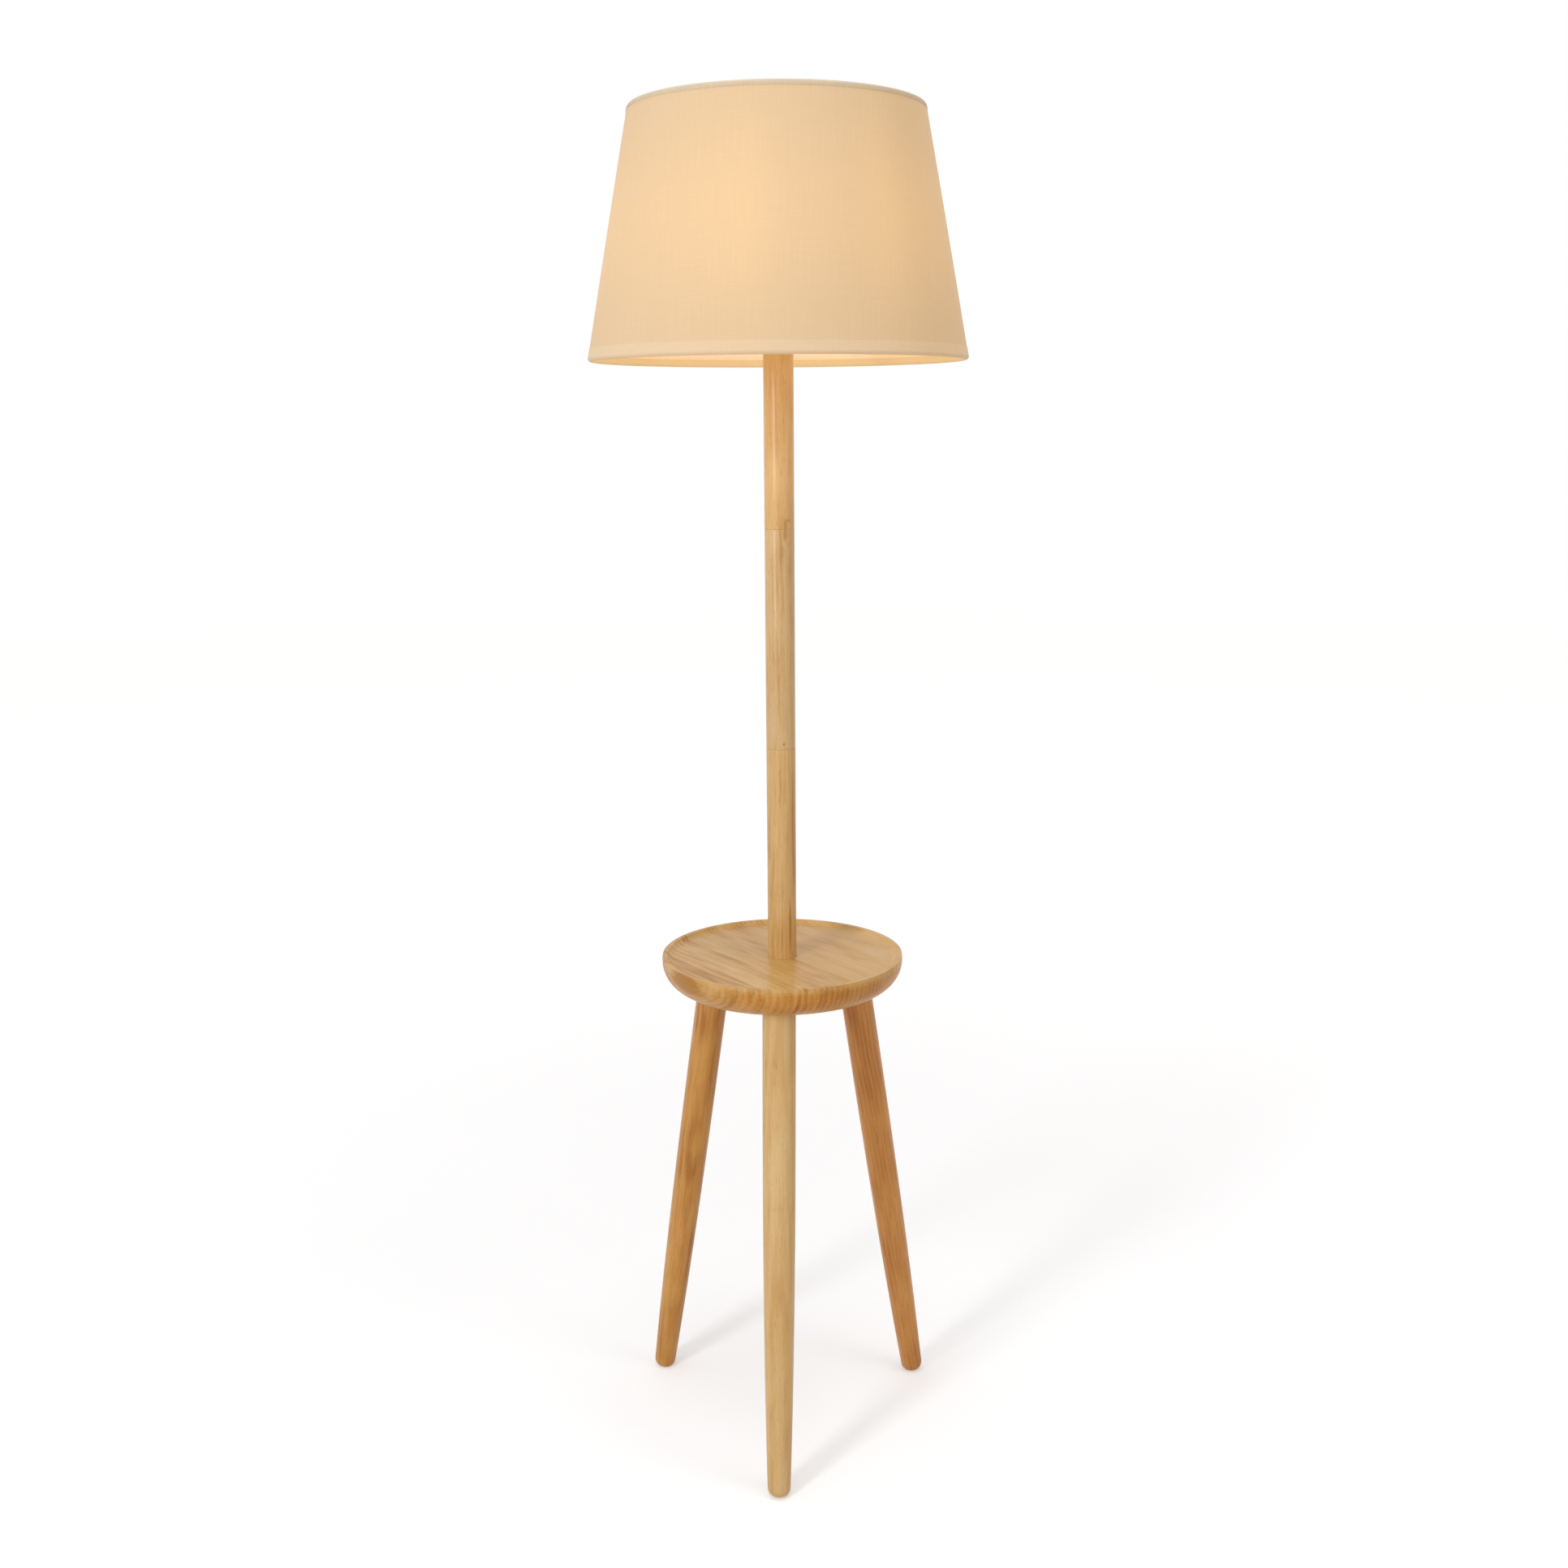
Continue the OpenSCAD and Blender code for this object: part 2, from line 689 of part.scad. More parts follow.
// Screw cap: a drawn sleeve with a slanted shoulder at its foot
module bulb_cap() {
    color("silver") rotate_extrude() polygon([
        [cap_r - shoulder_h, cap_z - shoulder_h / 2], [cap_r, cap_z + shoulder_h / 2],
        [cap_r, cap_top_z], [cap_r - cap_t, cap_top_z],
        [cap_r - cap_t, cap_z + shoulder_h / 2], [cap_r - shoulder_h - cap_t, cap_z - shoulder_h / 2]
    ]);
}

module bulb_insulator() {
    low_z = bulb_z + contact_t + seat_gap;
    top_r = cap_r - shoulder_h - cap_t - seat_gap;
    color("dimgray") rotate_extrude() polygon([
        [0, low_z], [contact_r, low_z], [top_r, cap_z - shoulder_h / 2], [top_r, cap_z], [0, cap_z]
    ]);
}

module bulb_contact() {
    color("silver") translate([0, 0, bulb_z]) cylinder(h = contact_t, r = contact_r);
}

leg_front();
leg_back_left();
leg_back_right();
leg_hanger_bolts();
leg_insert_nuts();
shelf();
shelf_washer();
shelf_nut();
shelf_tube();
cable_outlet_bush();
pole_lower();
pole_middle();
pole_upper();
pole_ferrules();
pole_nipples();
holder_nipple();
holder_lock_nut();
holder_cup();
holder_barrel();
holder_core();
holder_screw_shell();
holder_centre_contact();
holder_terminal_screws();
shade_ring();
shade_cover();
shade_liner();
shade_top_ring();
shade_bottom_ring();
shade_fitter();
shade_spokes();
bulb_dome();
bulb_body();
bulb_board();
bulb_cap();
bulb_insulator();
bulb_contact();
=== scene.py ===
"""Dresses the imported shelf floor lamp: finer pieces, a finish for every piece, studio and camera.

The lamp stands on z = 0 with its pole on the z axis and its front leg towards -y. Sizes are
written in millimetres and turned to metres where a mesh or a material is made.
"""

import logging
import math
from dataclasses import dataclass
from enum import Enum
from functools import reduce
from typing import Any, ClassVar, Optional, Sequence, Union

import bmesh
import bpy
import numpy as np
from mathutils import Matrix, Vector


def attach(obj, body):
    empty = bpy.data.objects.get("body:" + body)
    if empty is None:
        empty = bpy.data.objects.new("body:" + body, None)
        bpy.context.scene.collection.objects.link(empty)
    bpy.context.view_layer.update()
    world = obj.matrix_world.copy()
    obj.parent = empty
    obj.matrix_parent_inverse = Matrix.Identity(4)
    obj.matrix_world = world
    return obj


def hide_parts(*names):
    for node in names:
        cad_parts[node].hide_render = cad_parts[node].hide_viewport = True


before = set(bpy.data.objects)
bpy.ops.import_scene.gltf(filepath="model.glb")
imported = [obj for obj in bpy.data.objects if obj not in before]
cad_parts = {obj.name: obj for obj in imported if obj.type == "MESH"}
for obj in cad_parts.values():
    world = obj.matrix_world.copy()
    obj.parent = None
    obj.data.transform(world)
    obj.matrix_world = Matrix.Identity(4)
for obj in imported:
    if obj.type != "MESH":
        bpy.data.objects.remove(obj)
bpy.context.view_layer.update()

log = logging.getLogger("shelf_floor_lamp")

MM = 0.001
TAU = 2 * math.pi


# Meshes


def rounded_line(corners: Sequence[tuple[float, float, float]], steps: int = 6) -> np.ndarray:
    """Gives the points of a line whose corners are rounded by arcs.

    At a corner of radius r the line leaves the straight run r / tan(half the corner's angle)
    before it, follows a circle that touches both runs, and joins the next run as far after it.

    Args:
        corners: (x, y, radius) of each corner; a radius of 0 keeps it sharp.
        steps: number of steps in each arc.

    Returns:
        Array of (x, y) points.
    """
    spots = np.array([c[:2] for c in corners], float)
    made = []
    for k, (x, y, radius) in enumerate(corners):
        if radius <= 0 or k in (0, len(corners) - 1):
            made.append([[x, y]])
            continue
        to_last = spots[k - 1] - spots[k]
        to_next = spots[k + 1] - spots[k]
        to_last /= np.linalg.norm(to_last)
        to_next /= np.linalg.norm(to_next)
        half = math.acos(np.clip(to_last @ to_next, -1, 1)) / 2
        middle = to_last + to_next
        centre = spots[k] + middle / np.linalg.norm(middle) * radius / math.sin(half)
        start = spots[k] + to_last * radius / math.tan(half) - centre
        end = spots[k] + to_next * radius / math.tan(half) - centre
        part = np.linspace(0, 1, steps + 1)[:, None]
        sweep = math.pi - 2 * half
        arc = (np.sin((1 - part) * sweep) * start + np.sin(part * sweep) * end) / math.sin(sweep)
        made.append(centre + arc)
    return np.concatenate(made)


def run_along(line: np.ndarray) -> np.ndarray:
    """Gives each point's distance from the start, measured along the line."""
    return np.concatenate([[0], np.cumsum(np.linalg.norm(np.diff(line, axis=0), axis=1))])


def angles(columns: int) -> np.ndarray:
    """Gives the columns' angles, evenly round the z axis."""
    return np.arange(columns) * TAU / columns


def angle_between(angle: np.ndarray, turn_deg: float) -> np.ndarray:
    """Gives how far angles are from a turn, the shorter way round and in radians."""
    return np.abs(np.radians((np.degrees(angle) - turn_deg + 180) % 360 - 180))


def on_rows(radius: np.ndarray, height: np.ndarray) -> np.ndarray:
    """Joins radii on a grid of rows and columns with the rows' heights."""
    return np.stack([radius, height[:, None] + 0 * radius], -1)


def all_round(outline: Sequence[Sequence[float]], columns: int) -> np.ndarray:
    """Repeats an outline's (radius, height) rows in every column."""
    return np.repeat(np.array(outline)[:, None, :], columns, 1)


def revolved(profile: np.ndarray, columns: int = 128) -> np.ndarray:
    """Turns a profile about the z axis.

    The point of a row and a column is (r cos a, r sin a, z), with r and z from the profile's
    row and the angle a growing evenly with the column.

    Args:
        profile: (radius, height) rows, or radii and heights on a grid of rows and columns.
        columns: number of columns round the axis.

    Returns:
        Grid of points, rows by columns by 3, in the profile's unit.
    """
    angle = angles(columns)
    radius, height = np.moveaxis(profile, -1, 0)
    if radius.ndim == 1:
        radius, height = radius[:, None], height[:, None]
    radius = radius + 0 * angle
    return np.stack([radius * np.cos(angle), radius * np.sin(angle), height + 0 * angle], -1)


def grid_object(
    name: str,
    grids: Sequence[np.ndarray],
    closed_profile: bool = False,
    sharp_deg: float = 35.0,
    flat: Optional[np.ndarray] = None,
) -> bpy.types.Object:
    """Makes one object from grids of points that are closed round their columns.

    Each cell between two rows and two columns is a face. Rows that shrink to one point close
    the ends, and with closed_profile the last row joins the first.

    Args:
        name: name of the piece.
        grids: grids of points in millimetres, rows by columns by 3.
        closed_profile: whether the rows run round a closed outline.
        sharp_deg: edges that turn by more than this stay sharp.
        flat: places of the first grid's points on the flat cloth, with one more column and,
            for a closed outline, one more row, in metres.

    Returns:
        The object, smooth shaded, with its faces pointing outwards.
    """
    mesh = bpy.data.meshes.new(name)
    points, quads, start = [], [], 0
    for grid in grids:
        rows, columns = grid.shape[:2]
        i, j = np.meshgrid(
            np.arange(rows if closed_profile else rows - 1), np.arange(columns), indexing="ij"
        )
        up, on = (i + 1) % rows, (j + 1) % columns
        here, above = i * columns, up * columns
        cells = np.stack([here + j, here + on, above + on, above + j], -1)
        quads.append(cells.reshape(-1, 4) + start)
        points.append(grid.reshape(-1, 3) * MM)
        start += rows * columns
    mesh.from_pydata(np.concatenate(points).tolist(), [], np.concatenate(quads).tolist())
    if flat is not None:
        corners = np.stack([flat[i, j], flat[i, j + 1], flat[i + 1, j + 1], flat[i + 1, j]], -2)
        layer = mesh.uv_layers.new(name="flat_cloth")
        layer.data.foreach_set("uv", corners.astype(np.float32).ravel())
    body = bmesh.new()
    body.from_mesh(mesh)
    bmesh.ops.remove_doubles(body, verts=body.verts, dist=1e-7)
    bmesh.ops.recalc_face_normals(body, faces=body.faces)
    body.to_mesh(mesh)
    body.free()
    mesh.polygons.foreach_set("use_smooth", np.ones(len(mesh.polygons), bool))
    mesh.set_sharp_from_angle(angle=math.radians(sharp_deg))
    piece = bpy.data.objects.new(name, mesh)
    bpy.context.scene.collection.objects.link(piece)
    return piece


def placed(grid: np.ndarray, turn_deg: float, lean_deg: float, foot: Sequence[float]) -> np.ndarray:
    """Leans a grid from upright, moves it to its foot and turns it about the z axis.

    Args:
        grid: grid of points about its own z axis.
        turn_deg: turn about the lamp's axis.
        lean_deg: lean of the grid's axis towards the lamp's axis.
        foot: place of the grid's origin before the turn.

    Returns:
        The grid in the lamp's frame.
    """
    move = Matrix.Rotation(math.radians(turn_deg), 4, "Z") @ Matrix.Translation(Vector(foot))
    move = np.array(move @ Matrix.Rotation(-math.radians(lean_deg), 4, "Y"))
    return grid @ move[:3, :3].T + move[:3, 3]


def thread(
    angle: np.ndarray, height: np.ndarray, pitch: float, depth: float, ends: tuple[float, float]
) -> np.ndarray:
    """Gives how far a round thread sinks below its crest.

    The depth follows half of 1 - cos of the turn: the height in pitches less the angle in
    turns. It fades out over one pitch at both ends.

    Args:
        angle: angles round the axis.
        height: heights along the axis, in the unit of the pitch.
        pitch: rise of one turn.
        depth: depth of the thread.
        ends: lowest and highest height of the thread.

    Returns:
        Depth below the crest at each point.
    """
    turn = TAU * height / pitch - angle
    fade = np.clip((height - ends[0]) / pitch, 0, 1) * np.clip((ends[1] - height) / pitch, 0, 1)
    return depth * (0.5 - 0.5 * np.cos(turn)) * fade


# Nodes


Socket = bpy.types.NodeSocket
Value = Union[Socket, float, Sequence[float]]


def linear(code: str) -> tuple[float, float, float, float]:
    """Turns an sRGB colour into a linear one.

    Each part is divided by 12.92 where it is small, and else is the power 2.4 of the part plus
    0.055 over 1.055.

    Args:
        code: hex code such as D8B080.

    Returns:
        Red, green, blue and an alpha of 1.
    """
    part = np.array([int(code[k : k + 2], 16) for k in (0, 2, 4)]) / 255
    value = np.where(part <= 0.04045, part / 12.92, ((part + 0.055) / 1.055) ** 2.4)
    return (*value.tolist(), 1.0)


def wave_scale(step_mm: float) -> float:
    """Gives the scale at which a wave texture has one band in each step."""
    return math.pi / 10 / (step_mm * MM)


@dataclass(frozen=True)
class Cloud:
    """A cloudy noise: how fine it is per metre, its layers, its roughness, and its squeeze."""

    scale: float
    detail: float
    roughness: float = 0.5
    squeeze: tuple[float, float, float] = (1.0, 1.0, 1.0)


class Nodes:
    """The nodes of one material or of the world.

    Each method adds a node and gives its output. A value is a number, a colour, a vector or
    another node's output.
    """

    def __init__(self, tree: bpy.types.NodeTree) -> None:
        """Empties the tree."""
        tree.nodes.clear()
        self.tree = tree

    def add(self, kind: str, inputs: dict[Any, Value], output: Any = 0, **settings: Any) -> Any:
        """Adds a node.

        Args:
            kind: the node's type, without its ShaderNode prefix.
            inputs: value of each input, by the input's name or number.
            output: name or number of the output.
            settings: the node's own properties.

        Returns:
            The output's socket, or None for a node without outputs.
        """
        node = self.tree.nodes.new("ShaderNode" + kind)
        for name, value in settings.items():
            setattr(node, name, value)
        for key, value in inputs.items():
            if isinstance(value, bpy.types.NodeSocket):
                self.tree.links.new(value, node.inputs[key])
            else:
                node.inputs[key].default_value = value
        return node.outputs[output] if len(node.outputs) else None

    def place(self, kind: str = "Object") -> Socket:
        """Gives the place on the object, in its own metres, or on its map."""
        return self.add("TexCoord", {}, kind)

    def split(self, vector: Socket) -> tuple[Socket, Socket, Socket]:
        """Gives a vector's three parts."""
        return tuple(self.add("SeparateXYZ", {0: vector}).node.outputs)

    def math(self, operation: str, *values: Value) -> Socket:
        """Works out an operation on numbers."""
        return self.add("Math", dict(enumerate(values)), operation=operation)

    def product(self, *values: Socket) -> Socket:
        """Multiplies numbers."""
        return reduce(lambda so_far, value: self.math("MULTIPLY", so_far, value), values)

    def vector(self, operation: str, *values: Value) -> Socket:
        """Works out an operation on vectors."""
        return self.add("VectorMath", dict(enumerate(values)), operation=operation)

    def length(self, vector: Socket) -> Socket:
        """Gives a vector's length."""
        return self.add("VectorMath", {0: vector}, "Value", operation="LENGTH")

    def away(self, place: Socket, keep: tuple[float, float, float]) -> Socket:
        """Gives the distance from the origin along the axes that are kept."""
        return self.length(self.vector("MULTIPLY", place, keep))

    def span(
        self,
        value: Value,
        low: float,
        high: float,
        to_low: float = 0.0,
        to_high: float = 1.0,
        smooth: bool = False,
        clamp: bool = True,
    ) -> Socket:
        """Maps a span of values onto another one.

        Args:
            value: the value to map.
            low: start of the span.
            high: end of the span.
            to_low: result at the start.
            to_high: result at the end.
            smooth: whether it goes as a smooth step instead of evenly.
            clamp: whether it stops at both ends.

        Returns:
            The mapped value.
        """
        return self.add(
            "MapRange",
            {0: value, 1: low, 2: high, 3: to_low, 4: to_high},
            interpolation_type="SMOOTHSTEP" if smooth else "LINEAR",
            clamp=clamp,
        )

    def cloud(self, place: Socket, cloud: Cloud) -> Socket:
        """Gives a cloudy noise's level, from about 0.2 to 0.8.

        Args:
            place: the place on the object or on its map.
            cloud: the noise.

        Returns:
            The level.
        """
        if cloud.squeeze != Cloud.squeeze:
            place = self.add("Mapping", {"Vector": place, "Scale": cloud.squeeze})
        return self.add(
            "TexNoise",
            {
                "Vector": place,
                "Scale": cloud.scale,
                "Detail": cloud.detail,
                "Roughness": cloud.roughness,
            },
        )

    def ramp(self, value: Socket, *stops: tuple[float, str]) -> Socket:
        """Turns a level into a colour.

        Args:
            value: the level.
            stops: (level, hex colour) pairs, with even changes between them.

        Returns:
            The colour.
        """
        colour = self.add("ValToRGB", {0: value})
        elements = colour.node.color_ramp.elements
        while len(elements) < len(stops):
            elements.new(0.5)
        for element, (level, code) in zip(elements, stops):
            element.position = level
            element.color = linear(code)
        return colour

    def mix(self, share: Value, first: Value, second: Value, blend: str = "MIX") -> Socket:
        """Mixes two colours."""
        inputs = {0: share, 6: first, 7: second}
        return self.add("Mix", inputs, 2, data_type="RGBA", blend_type=blend)

    def bump(
        self, height: Socket, strength: float, depth_mm: float, invert: bool = False
    ) -> Socket:
        """Gives the surface's direction under a fine relief."""
        inputs = {"Height": height, "Strength": strength, "Distance": depth_mm * MM}
        return self.add("Bump", inputs, invert=invert)

    def seen_directly(self) -> Socket:
        """Tells rays that show a thing from rays that only carry its light.

        Returns:
            1 where a ray comes from the camera, a mirror or a clear piece, and else 0.
        """
        rays = self.add("LightPath", {}).node.outputs
        first = self.math("MAXIMUM", rays["Is Camera Ray"], rays["Is Glossy Ray"])
        return self.math("MAXIMUM", first, rays["Is Transmission Ray"])

    def close(self, surface: Socket, kind: str = "OutputMaterial") -> None:
        """Joins a shader to the tree's output."""
        self.add(kind, {"Surface": surface})


def new_material(name: str) -> tuple[bpy.types.Material, Nodes]:
    """Makes a material with an empty node tree.

    Args:
        name: the material's name.

    Returns:
        The material and its nodes.
    """
    material = bpy.data.materials.new(name)
    material.use_nodes = True
    return material, Nodes(material.node_tree)


# Finishes


@dataclass(frozen=True)
class Finish:
    """A finish by its material's name. Each kind of finish has its own surface."""

    name: str

    def surface(self, nodes: Nodes) -> dict[str, Value]:
        """Gives the inputs of the shader for solid things."""
        raise NotImplementedError

    def build(self) -> bpy.types.Material:
        """Makes the material, or takes it where it is made already.

        Returns:
            The material.
        """
        material = bpy.data.materials.get(self.name)
        if material is None:
            material, nodes = new_material(self.name)
            nodes.close(nodes.add("BsdfPrincipled", self.surface(nodes)))
        return material


@dataclass(frozen=True)
class Knot:
    """A small knot or a dark streak in the wood, with the grain bent round it.

    It is an ellipsoid: its place on the lamp, its half width, how many times taller it is, and
    how dark it is.
    """

    at_mm: tuple[float, float, float]
    size_mm: float
    taller: float
    strength: float

    COLOUR: ClassVar[str] = "A9752F"
    PUSH_MM: ClassVar[tuple[float, float, float]] = (5.0, 4.0, 0.0)

    def far(self, nodes: Nodes, place: Socket) -> Socket:
        """Gives the distance to the knot's middle.

        Args:
            nodes: the material's nodes.
            place: object coordinates.

        Returns:
            The distance, 1 at the knot's edge.
        """
        size = self.size_mm * MM
        inputs = {
            "Vector": place,
            "Location": [v * MM for v in self.at_mm],
            "Scale": (size, size, size * self.taller),
        }
        return nodes.length(nodes.add("Mapping", inputs, vector_type="TEXTURE"))

    def bend(self, nodes: Nodes, grain: Socket, far: Socket) -> Socket:
        """Bends the grain round the knot, most at its middle and not beyond twice its size."""
        share = nodes.span(far, 0.2, 2.2, 1.0, 0.0, smooth=True)
        return nodes.vector("MULTIPLY_ADD", share, [v * MM for v in self.PUSH_MM], grain)

    def colour(self, nodes: Nodes, wood: Socket, far: Socket) -> Socket:
        """Darkens the wood inside the knot."""
        core = nodes.span(far, 0.3, 1.0, self.strength, 0.0, smooth=True)
        return nodes.mix(core, wood, linear(self.COLOUR))


@dataclass(frozen=True)
class ClearWood(Finish):
    """Rubberwood, turned, sanded and sprayed with clear satin lacquer.

    To the eye it gives a pale honey ground, growth rings that run as long streaks and flames,
    fine short pores along the grain and a soft gloss over all of them.
    """

    pale: str
    middle: str
    warm: str
    pith_mm: tuple[float, float]
    lean_deg: tuple[float, float]
    ring_mm: float = 5.0
    foot_mm: tuple[float, float, float] = (0.0, 0.0, 0.0)
    axis_deg: tuple[float, float, float] = (0.0, 0.0, 0.0)
    knots: tuple[Knot, ...] = ()
    rings: float = 0.34
    pores: float = 0.5
    coat: float = 0.3

    # streaks of 2 mm by 60 mm, pores of 0.5 mm by 8 mm, drawn as coarse as they need to show
    STREAKS: ClassVar[Cloud] = Cloud(480.0, 3.0, 0.6, (1.0, 1.0, 0.035))
    PORES: ClassVar[Cloud] = Cloud(1500.0, 1.0, 0.5, (1.0, 1.0, 0.06))
    PATCHES: ClassVar[Cloud] = Cloud(38.0, 2.0, 0.5, (1.0, 1.0, 0.3))
    PORE_TINT: ClassVar[str] = "C9A887"
    # how much streaks and patches deepen the colour
    STREAK_SHARE: ClassVar[float] = 0.55
    PATCH_SHARE: ClassVar[float] = 0.9

    def surface(self, nodes: Nodes) -> dict[str, Value]:
        """Draws the wood.

        The rings are shells round a pith that runs beside the piece, so they show as streaks
        where the surface follows them and as flames where it cuts them. The depth of colour is
        a sum of the rings, which are stronger in some patches, of the streaks, of the patches
        themselves and of the strip's own tone.

        Args:
            nodes: the material's nodes.

        Returns:
            The shader's inputs.
        """
        place = nodes.place()
        along = nodes.add(
            "Mapping",
            {
                "Vector": place,
                "Location": [v * MM for v in self.foot_mm],
                "Rotation": [math.radians(v) for v in self.axis_deg],
            },
            vector_type="TEXTURE",
        )
        grain, tone = self.cut(nodes, along)
        knots = [(knot, knot.far(nodes, place)) for knot in self.knots]
        for knot, far in knots:
            grain = knot.bend(nodes, grain, far)
        rings = self.ring_level(nodes, grain)
        streak = nodes.cloud(grain, self.STREAKS)
        pore = nodes.cloud(grain, self.PORES)
        patch = nodes.cloud(grain, self.PATCHES)
        swing = nodes.span(patch, 0.42, 0.62, 0.25 * self.rings, 1.15 * self.rings)
        depth = nodes.product(nodes.math("SUBTRACT", rings, 0.5), swing)
        depth = nodes.math("MULTIPLY_ADD", streak, self.STREAK_SHARE, depth)
        depth = nodes.math("MULTIPLY_ADD", patch, self.PATCH_SHARE, depth)
        depth = nodes.math("ADD", depth, tone)
        colour = nodes.ramp(depth, (0.38, self.pale), (0.72, self.middle), (1.0, self.warm))
        for knot, far in knots:
            colour = knot.colour(nodes, colour, far)
        colour = self.tinted(nodes, along, rings, colour)
        sunk = nodes.span(pore, 0.62, 0.75, 0.0, self.pores)
        return {
            "Base Color": nodes.mix(sunk, colour, linear(self.PORE_TINT), "MULTIPLY"),
            "Roughness": nodes.span(streak, 0.3, 0.7, 0.34, 0.46),
            "Normal": nodes.bump(pore, 0.25, 0.06, invert=True),
            "IOR": 1.5,
            "Specular IOR Level": 0.25,
            "Coat Weight": self.coat,
            "Coat Roughness": 0.18,
        }

    def ring_level(self, nodes: Nodes, grain: Socket) -> Socket:
        """Gives the growth rings round the pith, which is a little out of line with the grain.

        Args:
            nodes: the material's nodes.
            grain: the place in the wood, with z along the grain.

        Returns:
            The level, from 0 in early wood to 1 in late wood.
        """
        pith = nodes.add(
            "Mapping",
            {
                "Vector": grain,
                "Location": (self.pith_mm[0] * MM, self.pith_mm[1] * MM, 0),
                "Rotation": (math.radians(self.lean_deg[0]), math.radians(self.lean_deg[1]), 0),
            },
        )
        return nodes.add(
            "TexWave",
            {
                "Vector": pith,
                "Scale": wave_scale(self.ring_mm),
                "Distortion": 3.0,
                "Detail": 2.0,
                "Detail Scale": 0.2,
                "Detail Roughness": 0.5,
            },
            "Fac",
            wave_type="RINGS",
            rings_direction="Z",
            wave_profile="SIN",
        )

    def cut(self, nodes: Nodes, grain: Socket) -> tuple[Socket, Value]:
        """Gives the grain and the tone of each place: one piece of wood is all the same."""
        return grain, 0.0

    def tinted(self, nodes: Nodes, grain: Socket, rings: Socket, colour: Socket) -> Socket:
        """Gives the colour under the lacquer, which tints the sides of a turned piece evenly."""
        return colour


@dataclass(frozen=True)
class BoardWood(ClearWood):
    """The same wood, glued up from strips into a round board with end grain round its side.

    Beyond figure_from_mm, across the board from its middle, the strips are cut so that dark
    late wood stands upright in them, in lines of uneven width and spacing, about 6 mm apart.
    """

    strip_mm: float = 52.0
    board_r_mm: float = 143.0
    figure_from_mm: float = 50.0

    LATE_WOOD: ClassVar[Cloud] = Cloud(185.0, 2.0, 0.6, (1.0, 0.1, 0.03))
    STRIP_SHIFT: ClassVar[tuple[float, float, float]] = (0.08, 0.03, 0.9)
    SUNK_TINT: ClassVar[str] = "F4CB7C"

    def cut(self, nodes: Nodes, grain: Socket) -> tuple[Socket, Value]:
        """Splits the wood into strips.

        Args:
            nodes: the material's nodes.
            grain: the place in the wood, with z along the grain.

        Returns:
            The grain, moved for each strip so that its rings differ, and the strip's tone with
            the late wood of the figured strips.
        """
        across = nodes.split(grain)[0]
        first = 1 - self.figure_from_mm / self.strip_mm
        count = nodes.math("MULTIPLY_ADD", across, 1 / (self.strip_mm * MM), first)
        number = nodes.math("FLOOR", count)
        chance = nodes.add("TexWhiteNoise", {"W": number}, noise_dimensions="1D").node.outputs
        shifted = nodes.vector("MULTIPLY_ADD", chance["Color"], self.STRIP_SHIFT, grain)
        tone = nodes.span(chance["Value"], 0.0, 1.0, -0.08, 0.06)
        line = nodes.span(nodes.cloud(grain, self.LATE_WOOD), 0.42, 0.68, -0.08, 0.24)
        seam, glue = self.figure_from_mm * MM, 0.3 * MM
        figured = nodes.span(across, seam - glue, seam + glue, 0.08, 1.0)
        return shifted, nodes.math("MULTIPLY_ADD", line, figured, tone)

    def tinted(self, nodes: Nodes, grain: Socket, rings: Socket, colour: Socket) -> Socket:
        """Sinks the lacquer into the end grain on the board's side.

        It grows with the distance along the grain from the board's middle and with the rings'
        late wood. It fades out within 22 mm of the board's edge, and near its raised rim.

        Args:
            nodes: the material's nodes.
            grain: the place in the wood, with z along the grain and y downwards.
            rings: level of the rings.
            colour: the wood's colour.

        Returns:
            The tinted colour.
        """
        radius = self.board_r_mm * MM
        _, below, along = nodes.split(grain)
        far = nodes.math("ABSOLUTE", along)
        ends = nodes.span(far, 0.1 * radius, 0.8 * radius, smooth=True)
        out = nodes.away(grain, (1.0, 0.0, 1.0))
        side = nodes.span(out, radius - 22 * MM, radius - 3 * MM, smooth=True)
        late = nodes.span(rings, 0.0, 1.0, 0.5, 1.0)
        under_rim = nodes.span(below, -17 * MM, -11 * MM)
        sunk = nodes.product(ends, side, late, under_rim)
        return nodes.mix(sunk, colour, linear(self.SUNK_TINT), "MULTIPLY")


@dataclass(frozen=True)
class Metal(Finish):
    """A bare or plated metal part: even metal colour, faint spots and fine lathe marks."""

    colour: str
    stain: str
    roughness: float
    lathe_mm: float = 0.5

    SPOTS: ClassVar[Cloud] = Cloud(260.0, 4.0, 0.6)

    def surface(self, nodes: Nodes) -> dict[str, Value]:
        """Draws the metal, with lathe marks that run round the lamp's axis.

        Args:
            nodes: the material's nodes.

        Returns:
            The shader's inputs.
        """
        place = nodes.place()
        spots = nodes.cloud(place, self.SPOTS)
        marks = nodes.add(
            "TexWave",
            {
                "Vector": place,
                "Scale": wave_scale(self.lathe_mm),
                "Distortion": 0.6,
                "Detail": 1.0,
            },
            bands_direction="Z",
        )
        dull, bright = self.roughness + 0.1, self.roughness - 0.06
        return {
            "Base Color": nodes.ramp(spots, (0.35, self.colour), (0.8, self.stain)),
            "Roughness": nodes.span(spots, 0.0, 1.0, bright, dull),
            "Normal": nodes.bump(marks, 0.2, 0.05),
            "Metallic": 1.0,
        }


